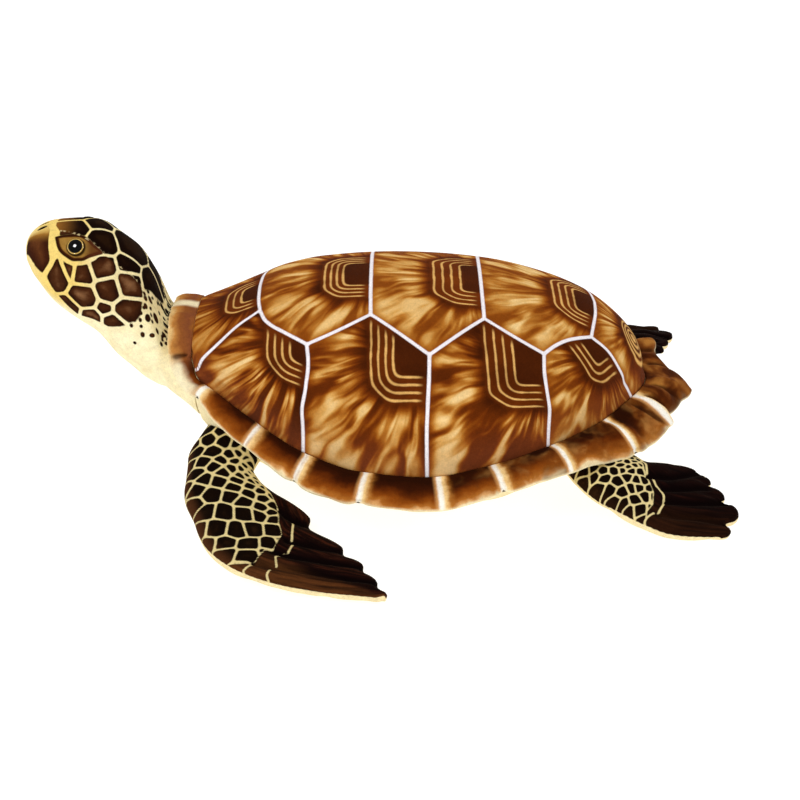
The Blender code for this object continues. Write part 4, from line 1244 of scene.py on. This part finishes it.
def scute_plush():
    # Polyester plush with a sprayed-looking print: brown and tan strokes, white outlines, no gloss
    material, add = start_material("printed short-pile plush, scutes")
    fan = add("Attribute", out="Vector", attribute_name="fan")
    body, away, line, ring, pitch, rings, seam, inner, zone = (
        add("Attribute", out="Fac", attribute_name=name)
        for name in ("body", "away", "line", "ring", "pitch", "rings", "seam", "inner", "zone"))
    where = add("TexCoord", out="Object")
    # A slow drift keeps the streaks from running dead straight
    drift = add("TexNoise", {"Vector": where, "Scale": 1 / (30 * MM), "Detail": 1.0}, out=1)
    drift = add("VectorMath", (drift, (0.16, 0.16, 0.3)), **TIMES)
    fan = add("VectorMath", (fan, drift), operation="ADD")
    # Streaks: light tan strokes brushed outwards from the rings, broad and narrow ones together
    streak, fine = (
        add("TexNoise", {"Vector": add("VectorMath", (fan, fineness), **TIMES), "Scale": 1.0,
                         "Detail": 1.0, "Distortion": swirl})
        for fineness, swirl in (((5.6, 5.6, 0.9), 0.5), ((12.5, 12.5, 1.3), 0.4)))
    cloud = add("TexNoise", {"Vector": where, "Scale": 1 / (26 * MM), "Detail": 1.5})
    stroke = add("Math", (streak, 0.70), **TIMES)
    for pattern, share in ((fine, 0.30), (cloud, 0.12)):
        stroke = add("Math", (pattern, share, stroke), **TIMES_PLUS)
    stroke = add("MapRange", (stroke, 0.44, 0.72), **SOFT)
    light = add("Math", (stroke, body), **TIMES)
    for part in (away, zone):
        light = add("Math", (light, part), operation="ADD")
    light = add("Math", (cloud, 0.22, light), **TIMES_PLUS)
    colour = add("ValToRGB", (light,), stops=[
        (0.0, "#260b01"), (0.12, "#3e1602"), (0.28, "#692c05"), (0.44, "#8b480e"), (0.60, "#ad6d26"),
        (0.78, "#cd9a52"), (0.92, "#e0b878"), (1.0, "#e8c68a")])
    # Towards the seam with the rim the ground turns a pinkish tan
    pink = add("MapRange", (seam, 36.0, 2.0, 0.0, 0.26), **SOFT)
    # Growth rings: thin tan lines at even steps outwards, fading before the white lines
    wobble = add("TexNoise", {"Vector": where, "Scale": 1 / (7 * MM), "Detail": 1.0})
    turn = add("Math", (ring, pitch), operation="DIVIDE")
    off = add("Math", (turn, add("Math", (turn,), operation="ROUND")), operation="SUBTRACT")
    off = add("Math", (add("Math", (off,), operation="ABSOLUTE"), pitch), **TIMES)
    off = add("Math", (wobble, -0.9, off), **TIMES_PLUS)
    drawn = add("MapRange", (off, 0.78, -0.32), **SOFT)
    spare = add("Math", (rings, turn), operation="SUBTRACT")
    for part in (add("MapRange", (turn, -0.5, -0.4)), add("MapRange", (spare, 0.4, 0.5)),
                 add("MapRange", (line, 3.0, 8.0), **SOFT),
                 add("MapRange", (cloud, 0.30, 0.55, 0.68, 1.0))):
        drawn = add("Math", (drawn, part), **TIMES)
    # White lines between the scutes
    edge = add("Math", (wobble, 0.3, line), **TIMES_PLUS)
    white = add("MapRange", (edge, LINE_HALF_WIDTH + 0.5, LINE_HALF_WIDTH - 0.2))
    for cover, paint in ((add("Math", (inner, 0.6), **TIMES), "#431a04"), (pink, "#8a4a30"),
                         (drawn, "#d9a860"), (white, "#ece6ea")):
        colour = add("Mix", {0: cover, 6: colour, 7: paint}, **COLOUR)
    finish_plush(add, colour)
    return material


def rim_plush():
    # The same plush, its print running from nearly black at the seam through brown to a cream edge
    material, add = start_material("printed short-pile plush, rim band")
    after, before, stripe, edge, valley, tack, collar, roll, rear, tail, crest = (
        add("Attribute", out="Fac", attribute_name=name)
        for name in ("after", "before", "stripe", "edge", "valley", "tack", "collar", "roll", "rear",
                     "tail", "crest"))
    where = add("TexCoord", out="Object")
    cloud, ragged, patch = (
        add("TexNoise", {"Vector": where, "Scale": 1 / (size * MM), "Detail": 2.0, "Distortion": swirl})
        for size, swirl in ((14, 0.4), (6, 0.0), (21, 0.5)))
    # Ground: nearly black along the seam, through brown and peach to cream at the outer edge
    height = add("Math", (cloud, 14.0, edge), **TIMES_PLUS)
    height = add("Math", (rear, -3.0, height), **TIMES_PLUS)
    height = add("Math", (height, 3.4), operation="SUBTRACT")
    colour = add("ValToRGB", (add("MapRange", (height, 2.0, 27.0)),), stops=[
        (0.0, "#f0d8a8"), (0.08, "#d6a064"), (0.18, "#a86424"), (0.34, "#86420c"), (0.55, "#5c2604"),
        (0.75, "#361202"), (1.0, "#280c01")])
    # Towards the tail the print is lighter and blotched
    blotch = add("MapRange", (patch, 0.38, 0.66, 0.0, 0.8), **SOFT)
    blotch = add("Math", (blotch, rear), **TIMES)
    tan = add("ValToRGB", (cloud,), stops=[(0.30, "#481c05"), (0.50, "#7e4414"), (0.70, "#b47a3c")])
    # Glow past each stripe, thin before it
    gap = add("Math", (ragged, 5.0, after), **TIMES_PLUS)
    glow = add("ValToRGB", (add("MapRange", (gap, 3.0, 15.0)),), stops=[
        (0.0, "#f4deaa"), (0.24, "#e6bd7c"), (0.46, "#b87a34"), (0.72, "#84460e"), (1.0, "#5e2806")])
    near = add("MapRange", (gap, 13.0, 5.0), **SOFT)
    close = add("MapRange", (before, 4.8, 1.9, 0.0, 0.9), **SOFT)
    # Collar over the neck: plain tan with a mauve brown middle and a yellowish front edge
    plain = add("ValToRGB", (add("MapRange", (height, 4.0, 26.0)),), stops=[
        (0.0, "#e0b878"), (0.16, "#b87c3c"), (0.42, "#8a4f24"), (0.70, "#7c4426"), (1.0, "#965a1e")])
    # The roll below the collar is cream along its front
    pale = add("MapRange", (add("Math", (cloud, -6.0, edge), **TIMES_PLUS), 9.0, 2.0), **SOFT)
    pale = add("Math", (pale, roll), **TIMES)
    # Past the last stripe the tail is brown, blotched with tan
    fold = add("ValToRGB", (patch,), stops=[
        (0.29, "#2a0e02"), (0.46, "#4c2006"), (0.58, "#7c4417"), (0.71, "#aa7030")])
    # White stripes
    core = add("MapRange", (add("Math", (ragged, 1.2, stripe), **TIMES_PLUS), 3.1, 1.3), **SOFT)
    # Painted shade: the colour turns dark brown down in the folds
    deep = add("MapRange", (valley, 0.5, 2.4, 0.0, 0.75), **SOFT)
    # Cream underside, and a dark thread dot at each tack
    under = add("MapRange", (edge, 2.2, -0.8), **SOFT)
    under = add("Math", (under, add("MapRange", (collar, 0.0, 1.0, 1.0, 0.35))), **TIMES)
    dot = add("MapRange", (tack, 1.9, 1.2))
    for cover, paint in ((blotch, tan), (near, glow), (close, "#cc9458"), (collar, plain),
                         (crest, "#ecdcb4"), (pale, "#f3e4bc"), (add("Math", (tail, 0.9), **TIMES), fold),
                         (core, "#f6f0e2"), (deep, "#2c1004"), (under, "#f6e8be"), (dot, "#2c1208")):
        colour = add("Mix", {0: cover, 6: colour, 7: paint}, **COLOUR)
    finish_plush(add, colour)
    return material


def cream_plush():
    # Undyed-looking cream plush: an even pale ground that clouds where the pile lies over
    material, add = start_material("plain cream short-pile plush")
    where = add("TexCoord", out="Object")
    cloud = add("TexNoise", {"Vector": where, "Scale": 1 / (30 * MM), "Detail": 2.0})
    finish_plush(add, add("ValToRGB", (cloud,), stops=[(0.3, "#f0deac"), (0.7, "#f7eac2")]))
    return material


def head_plush():
    # The same plush with crisp scales: nearly black on the crown, mottled brown on the cheeks
    material, add = start_material("printed short-pile plush, head scales")
    ink, socket, beak, nostril, seam, cheek, under, face, brow, muzzle, corner, eye = (
        add("Attribute", out="Fac", attribute_name=name)
        for name in ("ink", "socket", "beak", "nostril", "seam", "cheek", "under", "face", "brow",
                     "muzzle", "corner", "eye"))
    where = add("TexCoord", out="Object")
    ragged, cloud, patch = (
        add("TexNoise", {"Vector": where, "Scale": 1 / (size * MM), "Detail": detail})
        for size, detail in ((2.6, 2.0), (9, 3.0), (17, 1.0)))
    # Ground: cream, yellower on the face and pale under the throat
    ground = "#ecdda8"
    for cover, paint in ((face, "#efd077"), (under, "#fbefc4"),
                         (add("MapRange", (cloud, 0.40, 0.75, 0.0, 0.30)), "#cfae64")):
        ground = add("Mix", {0: cover, 6: ground, 7: paint}, **COLOUR)
    depth = add("MapRange", (add("Math", (cloud, 7.0, ink), **TIMES_PLUS), 3.5, 10.5))
    crown = add("ValToRGB", (depth,), stops=[(0.0, "#0e0301"), (0.6, "#150601"), (1.0, "#211004")])
    # Some cheek scales are lighter in the middle than others
    paler = add("Math", (depth, add("MapRange", (patch, 0.36, 0.60, 0.42, 1.0))), **TIMES)
    cheeks = add("ValToRGB", (paler,), stops=[(0.0, "#220c04"), (0.35, "#45230e"), (1.0, "#936743")])
    # Beak: dark below, fading through gold to the ground over the top of the snout
    bill = add("Math", (cloud, 0.4, add("MapRange", (beak, 0.0, 9.0))), **TIMES_PLUS)
    bill = add("ValToRGB", (bill,), stops=[(0.1, "#260d04"), (0.5, "#3c1a0a"), (1.0, "#5c3216")])
    for cover, paint in ((add("MapRange", (muzzle, 0.0, 0.55)), "#a8752e"),
                         (add("MapRange", (muzzle, 0.40, 1.0)), ground)):
        bill = add("Mix", {0: cover, 6: bill, 7: paint}, **COLOUR)
    dark = crown
    for cover, paint in ((brow, "#84541f"), (cheek, cheeks), (add("MapRange", (beak, -2.0, 1.0)), bill)):
        dark = add("Mix", {0: cover, 6: dark, 7: paint}, **COLOUR)
    printed = add("Math", (ragged, 0.5, ink), **TIMES_PLUS)
    printed = add("MapRange", (printed, -0.10, 0.60), **SOFT)
    # Eye socket: golden tan almond with a dark brown outline, darker towards its rear corner
    inner = add("ValToRGB", (add("MapRange", (socket, 0.0, 6.0)),), stops=[
        (0.0, "#2a1004"), (0.20, "#3c1b06"), (0.36, "#9a7030"), (1.0, "#a07a38")])
    inner = add("Mix", {0: add("Math", (corner, 0.85), **TIMES), 6: inner, 7: "#4c2410"}, **COLOUR)
    within = add("MapRange", (socket, -1.3, -0.5), **SOFT)
    shadow = add("MapRange", (eye, 7.4, 6.4, 0.0, 0.9), **SOFT)
    # Tufts of pile caught in the crown seam
    tuft = add("MapRange", (ragged, 0.50, 0.62, 0.0, 0.7))
    caught = add("Math", (tuft, add("MapRange", (seam, 1.1, 0.4))), **TIMES)
    hole = add("MapRange", (nostril, 0.0, 0.5))
    colour = ground
    for cover, paint in ((printed, dark), (within, inner), (shadow, "#1c0c04"), (caught, "#d8c490"),
                         (hole, "#0c0603")):
        colour = add("Mix", {0: cover, 6: colour, 7: paint}, **COLOUR)
    finish_plush(add, colour)
    return material


def flipper_plush():
    # The same plush: black-brown scales with thin cream lines, and on the fingers painted shade along the
    # sewn lines and painted highlights streaked like ribs
    material, add = start_material("printed short-pile plush, flipper scales")
    ink, under, fingers, lead, crease, brown_and_highlight = (
        add("Attribute", out="Fac", attribute_name=name)
        for name in ("ink", "under", "fingers", "lead", "crease", "brown_and_highlight"))
    lay = add("Attribute", out="Vector", attribute_name="lay")
    where = add("TexCoord", out="Object")
    ragged, cloud = (
        add("TexNoise", {"Vector": where, "Scale": 1 / (size * MM), "Detail": detail})
        for size, detail in ((2.6, 2.0), (10, 3.0)))
    # Painted highlight streaks like ribs, about 3 mm wide and 34 mm long, that run along the fingers
    along = add("VectorMath", (lay, (1 / 34, 1 / 3.2, 1.0)), **TIMES)
    highlight_streak = add("TexNoise", {"Vector": along, "Scale": 1.0, "Detail": 2.0, "Distortion": 0.3})
    depth = add("MapRange", (add("Math", (cloud, 7.0, ink), **TIMES_PLUS), 3.5, 9.5))
    scales = add("ValToRGB", (depth,), stops=[(0.0, "#0a0301"), (0.55, "#110601"), (1.0, "#221206")])
    outer = add("Math", (add("MapRange", (lead, 0.13, 0.0, 0.0, 0.85), **SOFT), brown_and_highlight), **TIMES)
    scales = add("Mix", {0: outer, 6: scales, 7: "#4c2a14"}, **COLOUR)
    # Fingers: painted shade, black, along the sewn lines, and a painted highlight, brown and streaked,
    # over the ribs between them
    ridge_highlight = add("MapRange", (crease, 1.0, 6.5), **SOFT)
    for part in (add("MapRange", (highlight_streak, 0.36, 0.66, 0.1, 1.0)),
                 add("MapRange", (brown_and_highlight, 0.0, 1.0, 0.45, 1.0))):
        ridge_highlight = add("Math", (ridge_highlight, part), **TIMES)
    finger = add("ValToRGB", (ridge_highlight,), stops=[(0.0, "#070101"), (0.45, "#160503"), (1.0, "#36160a")])
    # Painted highlight as well: the leading finger turns brown in the same streaks
    first = add("MapRange", (lead, 0.42, 0.12, 0.0, 0.75), **SOFT)
    for part in (add("MapRange", (highlight_streak, 0.30, 0.65, 0.25, 1.0)), brown_and_highlight):
        first = add("Math", (first, part), **TIMES)
    finger = add("Mix", {0: first, 6: finger, 7: "#5e3618"}, **COLOUR)
    dark = add("Mix", {0: fingers, 6: scales, 7: finger}, **COLOUR)
    printed = add("Math", (ragged, 0.4, ink), **TIMES_PLUS)
    printed = add("MapRange", (printed, -0.15, 0.45), **SOFT)
    colour = add("Mix", {0: printed, 6: "#d9c68c", 7: dark}, **COLOUR)
    below = add("MapRange", (under, -0.25, 0.25))
    finish_plush(add, add("Mix", {0: below, 6: colour, 7: "#f1ddaa"}, **COLOUR))
    return material


def eye_plastic():
    # Polished moulded plastic: a black dome with one small glint, in a thin golden ring
    material, add = start_material("polished moulded plastic, safety eye")
    radius = add("Attribute", out="Fac", attribute_name="radius")
    colour = add("ValToRGB", (add("MapRange", (radius, 4.6, 6.1)),), stops=[
        (0.0, "#010101"), (0.18, "#0c0602"), (0.30, "#a8843c"), (0.50, "#d6b866"), (0.72, "#a47c30"),
        (0.84, "#1c0f04"), (1.0, "#120903")])
    add("OutputMaterial", {"Surface": add("BsdfPrincipled", {
        "Base Color": colour, "Roughness": 0.03, "IOR": 1.49, "Specular IOR Level": 0.13})})
    return material


# Room: pale floor, soft light and the camera

VIEW_TARGET = Vector((-0.024, 0.0, 0.046))
VIEW_ELEVATION = math.radians(28.0)
VIEW_DISTANCE, LENS, SENSOR_WIDTH = 1.128, 67.5, 36.0
WORLD_LIGHT, FLOOR_GLOW = 0.66, 0.74
FLOOR_REACH = 40.0


def make_camera():
    data = bpy.data.cameras.new("camera")
    data.sensor_width = SENSOR_WIDTH
    data.lens = LENS
    data.dof.use_dof = False
    data.clip_start = 0.05
    data.clip_end = 20.0
    camera = bpy.data.objects.new("camera", data)
    bpy.context.scene.collection.objects.link(camera)
    back = Vector((0.0, -math.cos(VIEW_ELEVATION), math.sin(VIEW_ELEVATION)))
    camera.location = VIEW_TARGET + back * VIEW_DISTANCE
    camera.rotation_euler = (math.pi / 2 - VIEW_ELEVATION, 0.0, 0.0)
    bpy.context.scene.camera = camera


def soft_light(name, spot, aim, size, power):
    data = bpy.data.lights.new(name, "AREA")
    data.shape = "SQUARE"
    data.size = size
    data.energy = power
    lamp = bpy.data.objects.new(name, data)
    bpy.context.scene.collection.objects.link(lamp)
    lamp.location = spot
    lamp.rotation_euler = (Vector(aim) - Vector(spot)).to_track_quat("-Z", "Y").to_euler()
    return lamp


def make_room():
    # Opal acrylic sweep, lit from beneath as well as from above, so that it stays nearly white
    material, add = start_material("opal acrylic studio floor")
    add("OutputMaterial", {"Surface": add("BsdfPrincipled", {
        "Base Color": "#b6b6b6", "Roughness": 0.9, "Specular IOR Level": 0.1,
        "Emission Color": "#ffffff", "Emission Strength": FLOOR_GLOW})})
    mesh = bpy.data.meshes.new("floor")
    corners = [(x * FLOOR_REACH, y * FLOOR_REACH, 0) for x, y in ((-1, -1), (1, -1), (1, 1), (-1, 1))]
    mesh.from_pydata(corners, [], [(0, 1, 2, 3)])
    mesh.materials.append(material)
    floor = bpy.data.objects.new("floor", mesh)
    bpy.context.scene.collection.objects.link(floor)
    world = bpy.data.worlds.new("studio")
    world.use_nodes = True
    colour, strength = world.node_tree.nodes["Background"].inputs[:2]
    colour.default_value = linear("#ffffff")
    strength.default_value = WORLD_LIGHT
    bpy.context.scene.world = world
    # The large lights only shade the fabric, and the small one only glints in the near eye
    for name, spot, power in (("key", (-0.7, -0.9, 1.5), 11.0), ("fill", (0.9, -1.2, 0.9), 4.0),
                              ("back", (0.3, 1.2, 1.3), 5.0)):
        soft_light(name, spot, (0, 0, 0.05), size=1.0, power=power).visible_glossy = False
    place, normal = eye_frame(-1)
    sight = unit(np.array(bpy.context.scene.camera.location) - place)
    bounce = unit(2 * (normal @ sight) * normal - sight)
    glint = soft_light("glint", tuple(place + bounce * 1.1), tuple(place), size=0.16, power=9.0)
    glint.visible_diffuse = False
    bpy.context.scene.view_settings.view_transform = "Standard"


make_camera()
make_room()
LOOKS = {"flipper": flipper_plush(), "eye": eye_plastic()}
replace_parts(build_shell(), "shell")
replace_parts(build_rim(), "shell_rim")
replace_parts(build_belly(), "belly")
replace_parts(build_head(), "head_neck")
for word, side in (("left", -1), ("right", 1)):
    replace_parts(build_eye("safety_eye_" + word, side, LOOKS["eye"]), "eye_" + word)
    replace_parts(build_front_flipper("paddle_front_" + word, side), "front_flipper_" + word)
    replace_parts(build_rear_flipper("paddle_rear_" + word, side), "rear_flipper_" + word)
